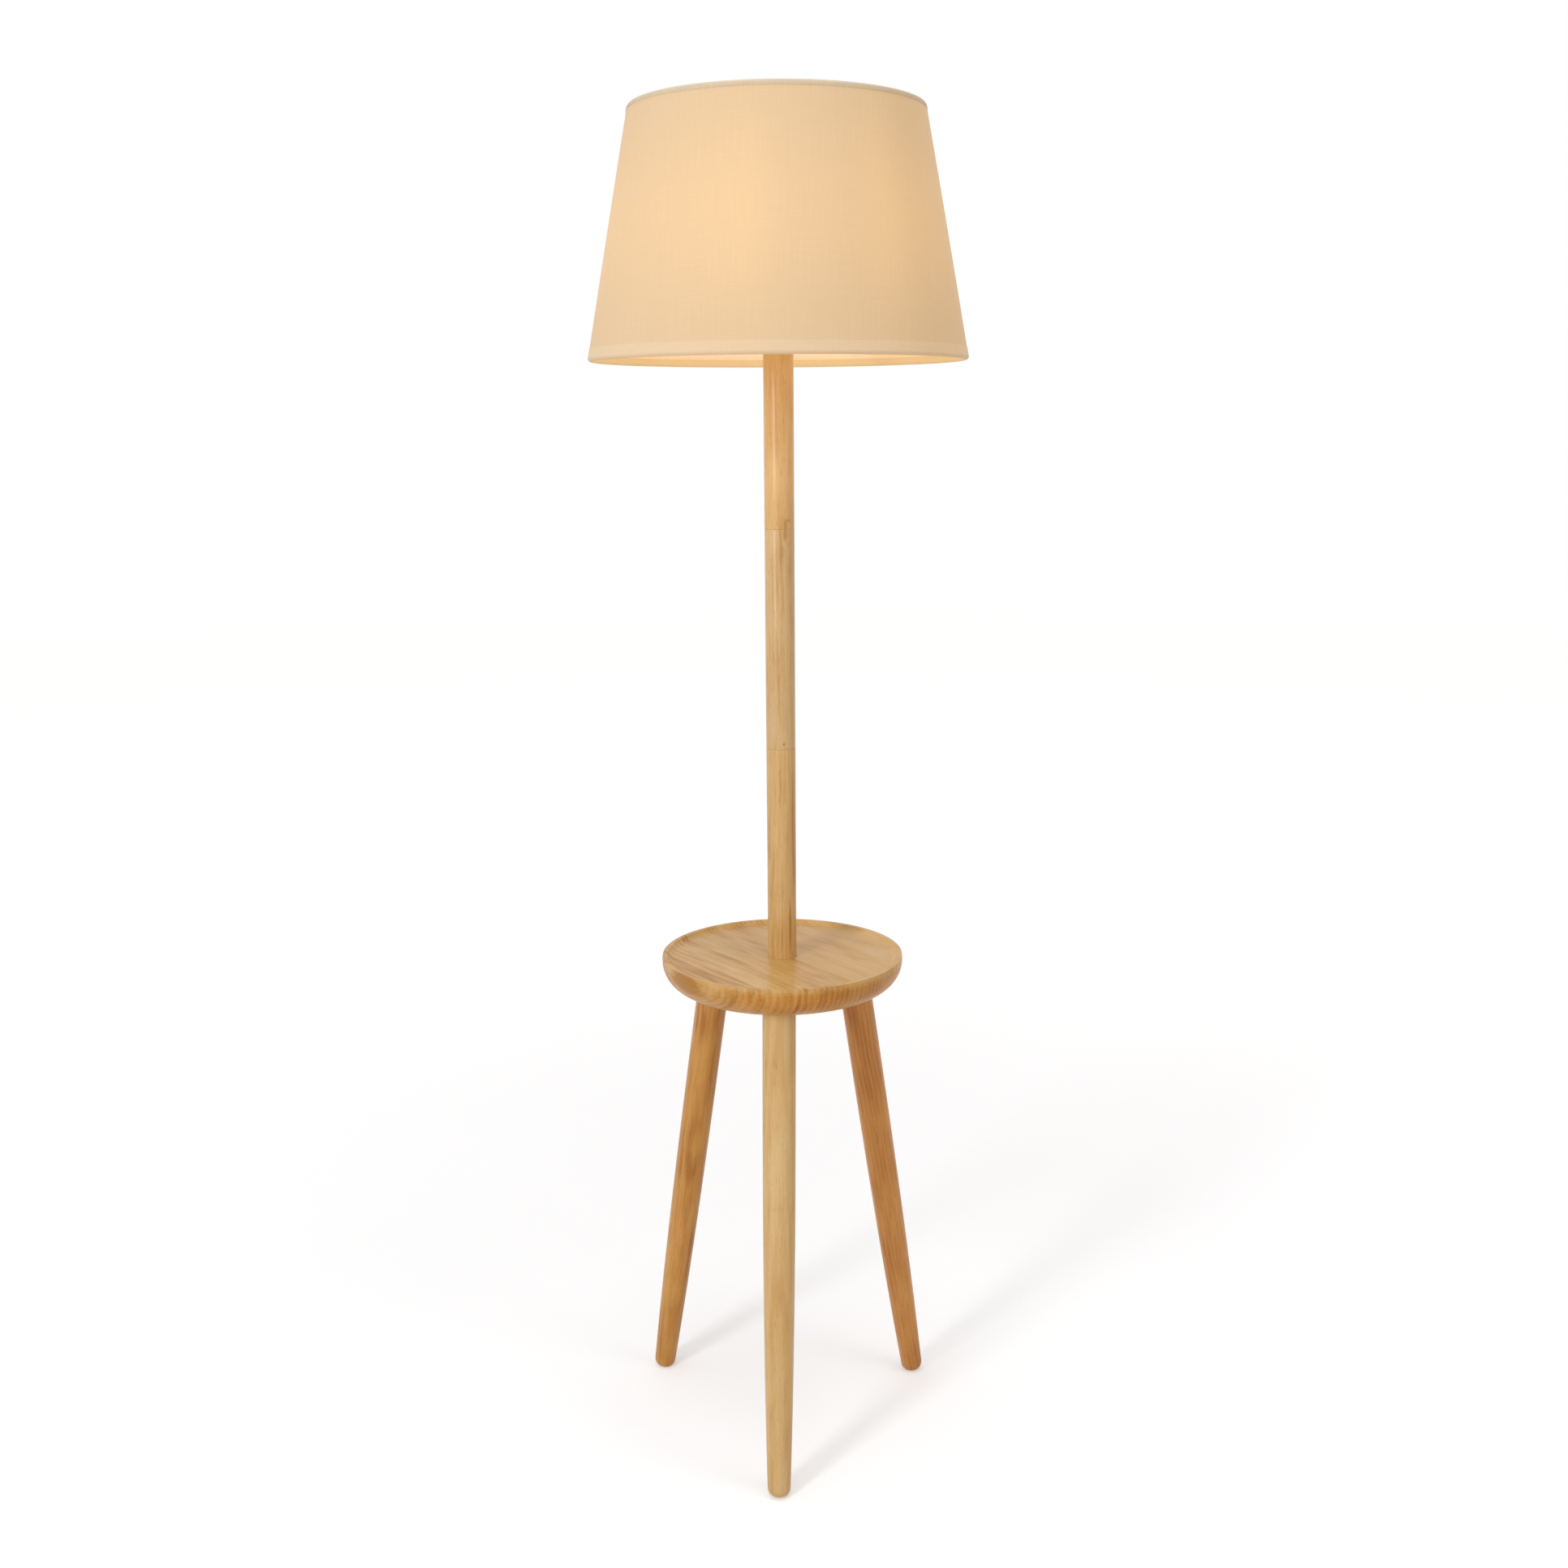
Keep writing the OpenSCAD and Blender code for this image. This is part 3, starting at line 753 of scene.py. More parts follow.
@dataclass(frozen=True)
class Moulded(Finish):
    """A moulded plastic, glass or enamel: one colour with a faint cast and a fine skin."""

    colour: str
    shade: str
    roughness: float
    ior: float
    skin_mm: float
    relief_mm: float
    coat: float = 0.0
    glow: float = 0.0

    GLOW: ClassVar[str] = "FFE2B8"
    CAST: ClassVar[Cloud] = Cloud(45.0, 2.0, 0.5)

    def surface(self, nodes: Nodes) -> dict[str, Value]:
        """Draws the moulding.

        Args:
            nodes: the material's nodes.

        Returns:
            The shader's inputs.
        """
        place = nodes.place()
        cast = nodes.cloud(place, self.CAST)
        skin = nodes.cloud(place, Cloud(1 / (self.skin_mm * MM), 1.0, 0.4))
        dull, bright = self.roughness + 0.07, self.roughness - 0.05
        return {
            "Base Color": nodes.ramp(cast, (0.35, self.colour), (0.75, self.shade)),
            "Roughness": nodes.span(skin, 0.0, 1.0, bright, dull),
            "Normal": nodes.bump(skin, 0.3, self.relief_mm),
            "IOR": self.ior,
            "Coat Weight": self.coat,
            "Coat Roughness": 0.12,
            "Emission Color": linear(self.GLOW),
            "Emission Strength": self.glow,
        }


def glow_level(nodes: Nodes, place: Socket) -> Socket:
    """Gives how brightly the bulb shines through the shade at a point, from 0 to 1.

    The level falls off with the height above or below the bulb's middle as a smooth hump, the
    exponential of minus the square of the height over its reach. Round the shade it swells
    between the three spokes, as 0.8 + 0.22 times the cosine of three times the angle. At the
    middle of each swell a soft valley takes it down to 0.52 of that.

    Args:
        nodes: the material's nodes.
        place: object coordinates.

    Returns:
        The level.
    """
    x, y, z = nodes.split(place)
    top = (Shade.glow_z + Shade.glow_reach) * MM
    above = nodes.span(z, Shade.glow_z * MM, top, clamp=False)
    fall = nodes.math("MULTIPLY", nodes.product(above, above), -1.0)
    hump = nodes.math("EXPONENT", fall)
    start = -3.0 * math.radians(Shade.valley_deg)
    thrice = nodes.math("MULTIPLY_ADD", nodes.math("ARCTAN2", y, x), 3.0, start)
    wave = nodes.math("COSINE", thrice)
    swell = nodes.math("MULTIPLY_ADD", wave, 0.22, 0.8)
    valley = nodes.span(wave, 0.3, 1.0, 1.0, 0.52, smooth=True)
    return nodes.product(hump, nodes.product(swell, valley))


@dataclass(frozen=True)
class ShadeCloth(Finish):
    """Cotton and linen cloth in plain weave, glued to a stiff film and lit from behind.

    To the eye it gives a pale warm ground, threads that thicken here and there into slubs, a
    soft matt surface, and an amber glow where the bulb is near. With inside_r_mm, the cloth
    within that radius is turned in, faces the bulb and is brighter.
    """

    pale: str
    deep: str
    thread_mm: float
    glow: float
    dim_glow: str
    full_glow: str
    inside_r_mm: float = 0.0

    # slubs: 1.5 mm wide and 25 mm to 60 mm long, along the weft and along the warp
    WEFT_SLUBS: ClassVar[Cloud] = Cloud(1.0, 2.0, 0.55, (26.0, 620.0, 1.0))
    WARP_SLUBS: ClassVar[Cloud] = Cloud(1.0, 2.0, 0.55, (620.0, 18.0, 1.0))
    INSIDE_GLOW: ClassVar[str] = "FFD080"
    INSIDE_FADE_MM: ClassVar[float] = 1.5

    def surface(self, nodes: Nodes) -> dict[str, Value]:
        """Draws the cloth on its own flat map, which is in metres, and the glow on the shade.

        Args:
            nodes: the material's nodes.

        Returns:
            The shader's inputs.
        """
        place, cloth = nodes.place(), nodes.place("UV")
        weave = self.weave(nodes, cloth)
        slubs = [nodes.cloud(cloth, slub) for slub in (self.WEFT_SLUBS, self.WARP_SLUBS)]
        slub = nodes.math("ADD", *slubs)
        depth = nodes.math("MULTIPLY_ADD", weave, -0.12, slub)
        lit = nodes.math("MULTIPLY_ADD", slub, -0.03, glow_level(nodes, place))
        light = nodes.ramp(lit, (0.0, self.dim_glow), (0.9, self.full_glow))
        if self.inside_r_mm:
            out = nodes.away(place, (1.0, 1.0, 0.0))
            start = (self.inside_r_mm - self.INSIDE_FADE_MM) * MM
            inside = nodes.span(out, start, self.inside_r_mm * MM, 1.0, 0.0)
            light = nodes.mix(inside, light, linear(self.INSIDE_GLOW))
        height = nodes.math("MULTIPLY_ADD", slub, 0.15, weave)
        return {
            "Base Color": nodes.ramp(depth, (0.5, self.pale), (1.0, self.deep)),
            "Emission Color": light,
            "Emission Strength": self.glow,
            "Normal": nodes.bump(height, 0.22, 0.12),
            "Roughness": 0.85,
            "IOR": 1.46,
            "Specular IOR Level": 0.25,
            "Sheen Weight": 0.15,
            "Sheen Roughness": 0.4,
        }

    def weave(self, nodes: Nodes, cloth: Socket) -> Socket:
        """Gives the height of the plain weave.

        Warp and weft are sines across the cloth. The height is the size of the one that lies on
        top, and that changes from crossing to crossing with the sign of their product.

        Args:
            nodes: the material's nodes.
            cloth: place on the flat cloth, in metres.

        Returns:
            The height, from 0 between threads to 1 on a thread.
        """
        turn = math.pi / (self.thread_mm * MM)
        warp, weft = [
            nodes.math("SINE", nodes.math("MULTIPLY", way, turn)) for way in nodes.split(cloth)[:2]
        ]
        over = nodes.math("GREATER_THAN", nodes.product(warp, weft), 0.0)
        heights = {2: nodes.math("ABSOLUTE", warp), 3: nodes.math("ABSOLUTE", weft)}
        return nodes.add("Mix", {0: over, **heights}, data_type="FLOAT")


@dataclass(frozen=True)
class LinerFilm(Finish):
    """Stiff white plastic film, rolled and glued, with the lit bulb close behind it."""

    colour: str
    stain: str
    glow: float
    dim_glow: str
    full_glow: str

    SKIN: ClassVar[Cloud] = Cloud(120.0, 3.0, 0.5)

    def surface(self, nodes: Nodes) -> dict[str, Value]:
        """Draws the film.

        Args:
            nodes: the material's nodes.

        Returns:
            The shader's inputs.
        """
        place = nodes.place()
        skin = nodes.cloud(place, self.SKIN)
        level = glow_level(nodes, place)
        return {
            "Base Color": nodes.ramp(skin, (0.3, self.colour), (0.8, self.stain)),
            "Emission Color": nodes.ramp(level, (0.0, self.dim_glow), (1.0, self.full_glow)),
            "Emission Strength": self.glow,
            "Normal": nodes.bump(skin, 0.1, 0.1),
            "Roughness": 0.5,
            "IOR": 1.53,
        }


# zinc plate on steel: cool grey, passivated with a faint yellow cast
ZINC = Metal("zinc_plated_steel", "B9BDC0", "A9A798", roughness=0.32, lathe_mm=1.0)
# drawn and turned brass: warm yellow, a little dulled
BRASS = Metal("drawn_brass", "D6AE62", "B98C46", roughness=0.3)
# nickel plate on thin metal: warm grey and bright
NICKEL = Metal("nickel_plated_cap", "C9C5BC", "B3AEA2", roughness=0.22)
# PBT moulding: ivory white, satin
PLASTIC = Moulded(
    "moulded_pbt_white", "F1EDE2", "E8E3D6", roughness=0.4, ior=1.55, skin_mm=0.9, relief_mm=0.02
)
# urea moulding: hard, off-white, dull
UREA = Moulded(
    "urea_moulding_white", "ECE8DC", "E2DDCF", roughness=0.38, ior=1.56, skin_mm=0.8, relief_mm=0.02
)
# nylon: a dark, slightly waxy skin
NYLON = Moulded(
    "moulded_nylon_black", "26252A", "2E2D31", roughness=0.42, ior=1.53, skin_mm=0.6, relief_mm=0.02
)
# powder coat on steel wire: bright white with a faint orange peel
ENAMEL = Moulded(
    "powder_coat_white", "F0EEE8", "E6E3DB", roughness=0.36, ior=1.5, skin_mm=1.2, relief_mm=0.04
)
# opal polycarbonate, lit from behind
OPAL = Moulded(
    "opal_polycarbonate",
    "E6DDCB",
    "E2D7C2",
    roughness=0.3,
    ior=1.58,
    skin_mm=2.0,
    relief_mm=0.01,
    glow=0.3,
)
# thermally conducting plastic over aluminium: white, matt
HOUSING = Moulded(
    "bulb_housing_white", "EFEDE6", "E7E4DB", roughness=0.45, ior=1.5, skin_mm=0.9, relief_mm=0.03
)
# white solder mask: glossy lacquer on a board
SOLDER_MASK = Moulded(
    "solder_mask_white",
    "F2F1EC",
    "E4E5E0",
    roughness=0.25,
    ior=1.5,
    skin_mm=1.5,
    relief_mm=0.01,
    coat=0.3,
)
# black glass fused into the cap
GLASS = Moulded(
    "fused_glass_black",
    "17161A",
    "201E22",
    roughness=0.12,
    ior=1.52,
    skin_mm=1.0,
    relief_mm=0.01,
    coat=0.5,
)
# styrene film: smooth and milky white, amber where the bulb is near
LINER = LinerFilm(
    "styrene_film_white", "F3ECDC", "E9E2D2", glow=0.36, dim_glow="EDB078", full_glow="F4C79A"
)


# Dressing


class Slot(Enum):
    """The lamp's material slots, by name."""

    LEG_WOOD = "leg_wood"
    POLE_WOOD = "pole_wood"
    ZINC_STEEL = "zinc_steel"
    HOLDER_PLASTIC = "holder_plastic"
    SHADE_CLOTH = "shade_cloth"
    FRAME_ENAMEL = "frame_enamel"
    CAP_METAL = "cap_metal"


def dress(
    piece: bpy.types.Object, finish: Finish, body: str, stands_for: str
) -> None:
    """Gives a new piece all that it needs besides its shape.

    Args:
        piece: the piece.
        finish: its finish.
        body: the body that it rides on.
        stands_for: the CAD node that it stands for.
    """
    piece.data.materials.append(finish.build())
    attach(piece, body)
    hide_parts(stands_for)
    log.info("%s stands for %s on %s", piece.name, stands_for, body)


def dress_nodes(finish: Finish, *nodes: str) -> None:
    """Gives CAD nodes that keep their shape their finish.

    Args:
        finish: the finish.
        nodes: names of the nodes.
    """
    for node in nodes:
        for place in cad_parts[node].material_slots:
            place.material = finish.build()
        log.info("%s keeps its CAD shape, in %s", node, finish.name)


# The lamp


@dataclass
class Legs:
    """Three turned legs, splayed in sockets under the shelf."""

    top_r: float = 19.1
    foot_r: float = 13.35
    foot_round: float = 9.5
    length: float = 569.12
    lean: float = 9.3
    foot_x: float = 188.336
    foot_z: float = 0.247
    bore_r: float = 4.1
    bore_l: float = 41.0
    edge: float = 0.3

    def grid(self, turn: float) -> np.ndarray:
        """Gives one leg's points.

        The foot is rounded by an arc. Above it, at a share s of the height, the radius is the
        top's radius less (1 - s) cubed times what the leg loses down to its foot, so that the
        taper quickens towards the floor. A bore for the bolt goes in at the top. The outline is
        turned about the leg's axis. Points below the floor are raised to it, which leaves the
        flat that the leg stands on.

        Args:
            turn: the leg's place round the lamp, in degrees.

        Returns:
            Grid of points on the lamp.
        """
        share = np.linspace(0, 1, 40)[1:]
        radius = self.top_r - (self.top_r - self.foot_r) * (1 - share) ** 3
        height = self.foot_round + (self.length - self.foot_round) * share
        taper = np.stack([radius, height], -1)
        arc = np.linspace(0, math.pi / 2, 15)[:, None]
        foot = self.foot_round * np.concatenate([np.sin(arc) - 1, 1 - np.cos(arc)], -1)
        sole = np.linspace(0, self.foot_r - self.foot_round, 6)[:-1, None] * [1.0, 0.0]
        taper[-1, 0] -= self.edge
        rim = [[self.top_r, self.length - self.edge]]
        bore = [
            [self.bore_r, self.length],
            [self.bore_r, self.length - self.bore_l],
            [0.0, self.length - self.bore_l],
        ]
        outline = np.concatenate([sole, foot + [self.foot_r, 0], taper[:-1], rim, taper[-1:], bore])
        grid = placed(revolved(outline, 96), turn, self.lean, (self.foot_x, 0.0, self.foot_z))
        grid[..., 2] = np.maximum(grid[..., 2], 0)
        return grid

    def build(self) -> None:
        """Makes the three legs, each cut from its own blank with partly painted light and shade, and
        dresses their fastenings.
        """
        # place round the lamp, strength of the rings, colours, and the pith's place and lean
        # each leg's colours are its blank's own tone, with painted light making the front leg paler
        # and painted shade making the back legs deeper
        blanks_with_painted_light = {
            "leg_front": (270.0, 0.26, "E1C492", "D6B178", "CCA265", (61.6, 2.0), (0.15, -1.5)),
            "leg_back_left": (150.0, 0.26, "DBA960", "C89049", "AD7333", (-48.0, 41.0), (-1.4, 1.1)),
            "leg_back_right": (30.0, 0.16, "E3AA62", "D2934E", "B97638", (72.0, -21.0), (0.8, 1.6)),
        }
        for node, (turn, rings, *blank_with_painted_light) in blanks_with_painted_light.items():
            foot = placed(np.zeros(3), turn, 0.0, (self.foot_x, 0.0, self.foot_z))
            wood = ClearWood(
                "rubberwood_" + node,
                *blank_with_painted_light,
                foot_mm=tuple(foot),
                axis_deg=(0.0, -self.lean, turn),
                rings=rings,
                coat=0.15,
            )
            piece = grid_object(node + "_turned", [self.grid(turn)])
            dress(piece, wood, "stand", node)
        dress_nodes(ZINC, "leg_hanger_bolts")
        dress_nodes(BRASS, "leg_insert_nuts")


@dataclass
class Pole:
    """The pole: three turned tubes that screw together end to end."""

    radius: float = 17.0
    edge: float = 0.5
    duct_r: float = 6.0
    ferrule_r: float = 8.1
    ferrule_l: float = 24.2
    ends: tuple[float, ...] = (591.0, 845.5, 1098.0, 1328.0)

    def profile(self, low: float, high: float) -> np.ndarray:
        """Gives the outline of a section: outside, eased ends, bore and both counterbores.

        It starts and ends half way up the outside, so that both eased edges are between others.

        Args:
            low: height of its lower end.
            high: height of its upper end.

        Returns:
            Closed outline as (radius, height) points.
        """
        return rounded_line(
            [
                (self.radius, (low + high) / 2, 0.0),
                (self.radius, high, self.edge),
                (self.ferrule_r, high, 0.0),
                (self.ferrule_r, high - self.ferrule_l, 0.0),
                (self.duct_r, high - self.ferrule_l, 0.0),
                (self.duct_r, low + self.ferrule_l, 0.0),
                (self.ferrule_r, low + self.ferrule_l, 0.0),
                (self.ferrule_r, low, 0.0),
                (self.radius, low, self.edge),
                (self.radius, (low + high) / 2 - 1.0, 0.0),
            ],
            steps=4,
        )

    def build(self) -> None:
        """Makes the three sections, with the knots and dark streaks that show on them."""
        marks = {
            "pole_lower": (
                Knot((10.2, -13.6, 632.0), 2.6, 18.0, 0.75),
                Knot((14.4, -9.0, 735.0), 3.6, 30.0, 0.6),
            ),
            "pole_middle": (
                Knot((4.2, -16.5, 852.0), 2.0, 1.0, 0.8),
                Knot((7.0, -15.5, 1093.0), 4.2, 2.6, 0.5),
            ),
            "pole_upper": (Knot((7.5, -15.3, 1103.0), 3.8, 2.6, 0.5),),
        }
        # colours, and the pith's place and lean; the upper section's paler colours are partly
        # painted light from the bulb above it
        blanks_with_painted_light = {
            "pole_lower": ("E1BD85", "D3AB6F", "BF9050", (52.0, 38.0), (1.3, -1.0)),
            "pole_middle": ("E1C495", "D4AF7A", "C0955D", (-60.0, 24.0), (-0.9, 1.2)),
            "pole_upper": ("E8C58C", "DCB276", "C99859", (44.0, -50.0), (1.1, 0.8)),
        }
        for node, low, high in zip(blanks_with_painted_light, self.ends, self.ends[1:]):
            wood = ClearWood("rubberwood_" + node, *blanks_with_painted_light[node], knots=marks[node], rings=0.2)
            grid = revolved(self.profile(low, high), 128)
            piece = grid_object(node + "_turned", [grid], closed_profile=True)
            dress(piece, wood, "stand", node)
        dress_nodes(ZINC, "pole_nipples")
        dress_nodes(BRASS, "pole_ferrules")


@dataclass
class Shelf:
    """The dished shelf, glued from strips, and the fastenings under it."""

    grain_deg: float = -50.0
    middle_z: float = 577.5
    nut_across: float = 17.0
    nut_low: float = 562.0
    nut_high: float = 568.0
    nut_bore_r: float = 5.1
    # of half the width across flats: height of the cut corners, radius of the end faces
    nut_chamfer: float = 0.155
    nut_face: float = 0.985

    def nut_grid(self) -> np.ndarray:
        """Gives the nut's points.

        Its radius at an angle is that of a hexagon, half the width across flats over the cosine
        of the angle from the nearest flat's middle, cut at both ends by a 30 degree cone.

        Returns:
            Grid of points on the lamp.
        """
        columns = 144
        flat = self.nut_across / 2
        hexagon = flat / np.cos((angles(columns) + math.pi / 6) % (math.pi / 3) - math.pi / 6)
        steps = flat * self.nut_chamfer * np.array([0, 0.5, 1])
        height = np.concatenate([self.nut_low + steps, self.nut_high - steps[::-1]])
        depth = np.minimum(height - self.nut_low, self.nut_high - height)
        cone = flat * self.nut_face + depth[:, None] * math.tan(math.radians(60))
        outside = on_rows(np.minimum(hexagon, cone), height)
        bore = [[self.nut_bore_r, self.nut_high], [self.nut_bore_r, self.nut_low]]
        return revolved(np.concatenate([outside, all_round(bore, columns)]), columns)

    def build(self) -> None:
        """Dresses the shelf and its fastenings, and makes its nut."""
        wood = BoardWood(
            name="rubberwood_shelf",
            pale="D8B37B",
            middle="CB9F5C",
            warm="AE7932",
            pith_mm=(150.0, 20.0),
            lean_deg=(1.2, 1.6),
            ring_mm=6.5,
            foot_mm=(0.0, 0.0, self.middle_z),
            axis_deg=(-90.0, 0.0, self.grain_deg - 90.0),
            rings=0.06,
            pores=0.35,
            coat=0.12,
        )
        dress_nodes(wood, "shelf")
        dress_nodes(ZINC, "shelf_washer", "shelf_tube")
        dress_nodes(NYLON, "cable_outlet_bush")
        nut = grid_object("shelf_nut_hexagon", [self.nut_grid()], True, sharp_deg=25.0)
        dress(nut, ZINC, "stand", "shelf_nut")


@dataclass
class Lampholder:
    """The lampholder: threaded barrel and shade ring, cup, core and contacts."""

    barrel_r: float = 19.5
    bore_r: float = 17.2
    barrel_low: float = 1341.0
    barrel_high: float = 1382.0
    lip_t: float = 1.5
    lip_r: float = 13.51
    thread_low: float = 1349.0
    pitch: float = 3.0
    depth: float = 0.7
    ring_low: float = 1350.8
    ring_high: float = 1360.8
    ring_bore_r: float = 19.8
    # depth of the ring's thread as a share of the barrel's
    ring_depth: float = 0.6
    flange_r: float = 25.8
    flange_t: float = 2.0
    collar_r: float = 23.0
    grip_n: int = 18
    grip_r: float = 1.0

    def barrel_grid(self) -> np.ndarray:
        """Gives the barrel's points: a tube with a lip at its foot and a round thread outside.

        Returns:
            Grid of points on the lamp.
        """
        columns = 160
        height = np.linspace(self.barrel_low + 0.4, self.barrel_high - 0.6, 150)
        ends = (self.thread_low, self.barrel_high - 2.0)
        sunk = thread(angles(columns), height[:, None], self.pitch, self.depth, ends)
        rest = [
            [self.barrel_r - 0.6, self.barrel_high],
            [self.bore_r + 0.5, self.barrel_high],
            [self.bore_r, self.barrel_high - 0.5],
            [self.bore_r, self.barrel_low + self.lip_t],
            [self.lip_r, self.barrel_low + self.lip_t],
            [self.lip_r, self.barrel_low],
            [self.barrel_r - 0.4, self.barrel_low],
        ]
        outside = on_rows(self.barrel_r - sunk, height)
        return revolved(np.concatenate([outside, all_round(rest, columns)]), columns)

    def ring_grid(self) -> np.ndarray:
        """Gives the shade ring's points.

        A flange below and a collar above, whose radius swells by a rounded rib at each of the
        grip's places, with a round thread in the bore.

        Returns:
            Grid of points on the lamp.
        """
        columns = 360
        angle = angles(columns)
        arc = (angle * self.grip_n / TAU + 0.5) % 1 - 0.5
        across = arc * TAU / self.grip_n * self.collar_r
        rib = np.sqrt(np.clip(self.grip_r**2 - across**2, 0, None))
        low, high = self.ring_low, self.ring_high
        # radius, height and share of the rib
        outline = np.array(
            [
                [self.flange_r - 0.4, low, 0],
                [self.flange_r, low + 0.4, 0],
                [self.flange_r, low + self.flange_t - 0.4, 0],
                [self.flange_r - 0.4, low + self.flange_t, 0],
                [self.collar_r + 0.5, low + self.flange_t, 0],
                [self.collar_r, low + self.flange_t + 0.5, 1],
                [self.collar_r, high - 0.8, 1],
                [self.collar_r - 0.3, high - 0.2, 0.6],
                [self.collar_r - 0.8, high, 0],
            ]
        )
        outside = on_rows(outline[:, :1] + rib * outline[:, 2:], outline[:, 1])
        height = np.linspace(high, low, 60)
        depth = self.depth * self.ring_depth
        groove = depth - thread(angle, height[:, None], self.pitch, depth, (low, high))
        inside = on_rows(self.ring_bore_r + groove, height)
        return revolved(np.concatenate([outside, inside]), columns)

    def build(self) -> None:
        """Makes the barrel and the shade ring, and dresses what is inside."""
        barrel = grid_object("holder_barrel_threaded", [self.barrel_grid()], True, sharp_deg=50.0)
        dress(barrel, PLASTIC, "stand", "holder_barrel")
        ring = grid_object("shade_ring_ribbed", [self.ring_grid()], True, sharp_deg=50.0)
        dress(ring, PLASTIC, "clamp_ring", "shade_ring")
        dress_nodes(PLASTIC, "holder_cup")
        dress_nodes(UREA, "holder_core")
        dress_nodes(ZINC, "holder_nipple", "holder_lock_nut")
        dress_nodes(
            BRASS, "holder_screw_shell", "holder_centre_contact", "holder_terminal_screws"
        )


@dataclass
class Bulb:
    """The bulb: screw cap and contact, and the parts that keep their CAD shape."""

    cap_r: float = 13.2
    cap_t: float = 0.5
    cap_low: float = 1356.5
    cap_high: float = 1378.5
    slope: float = 2.6
    pitch: float = 3.63
    depth: float = 1.0
    contact_r: float = 4.8
    contact_low: float = 1352.7
    contact_t: float = 1.2

    def cap_grid(self) -> np.ndarray:
        """Gives the cap's points: a rolled round thread over a slope at the foot, on thin metal.

        Returns:
            Grid of points on the lamp.
        """
        columns = 128
        height = np.linspace(self.cap_low + self.slope / 2, self.cap_high, 110)
        ends = (self.cap_low, self.cap_high - 0.5)
        sunk = thread(angles(columns), height[:, None], self.pitch, self.depth, ends)
        foot = all_round([[self.cap_r - self.slope, self.cap_low - self.slope / 2]], columns)
        outside = np.concatenate([foot, on_rows(self.cap_r - sunk, height)])
        inside = outside[::-1] - [self.cap_t, 0]
        return revolved(np.concatenate([outside, inside]), columns)

    def contact_grid(self) -> np.ndarray:
        """Gives the contact's points: a small button with a rounded edge.

        Returns:
            Grid of points on the lamp.
        """
        low, r = self.contact_low, self.contact_r
        outline = rounded_line(
            [
                (0.0, low, 0.0),
                (r * 0.7, low, 2.0),
                (r, low + self.contact_t * 0.5, 0.5),
                (r, low + self.contact_t, 0.0),
                (0.0, low + self.contact_t, 0.0),
            ]
        )
        return revolved(outline, 64)

    def build(self) -> None:
        """Makes the cap and the contact, and dresses the rest."""
        cap = grid_object("bulb_cap_threaded", [self.cap_grid()], True, sharp_deg=50.0)
        dress(cap, NICKEL, "bulb", "bulb_cap")
        contact = grid_object("bulb_contact_button", [self.contact_grid()])
        dress(contact, NICKEL, "bulb", "bulb_contact")
        dress_nodes(OPAL, "bulb_dome")
        dress_nodes(HOUSING, "bulb_body")
        dress_nodes(SOLDER_MASK, "bulb_board")
        dress_nodes(GLASS, "bulb_insulator")
        # the light inside the dome shines through it
        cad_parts["bulb_dome"].visible_shadow = False


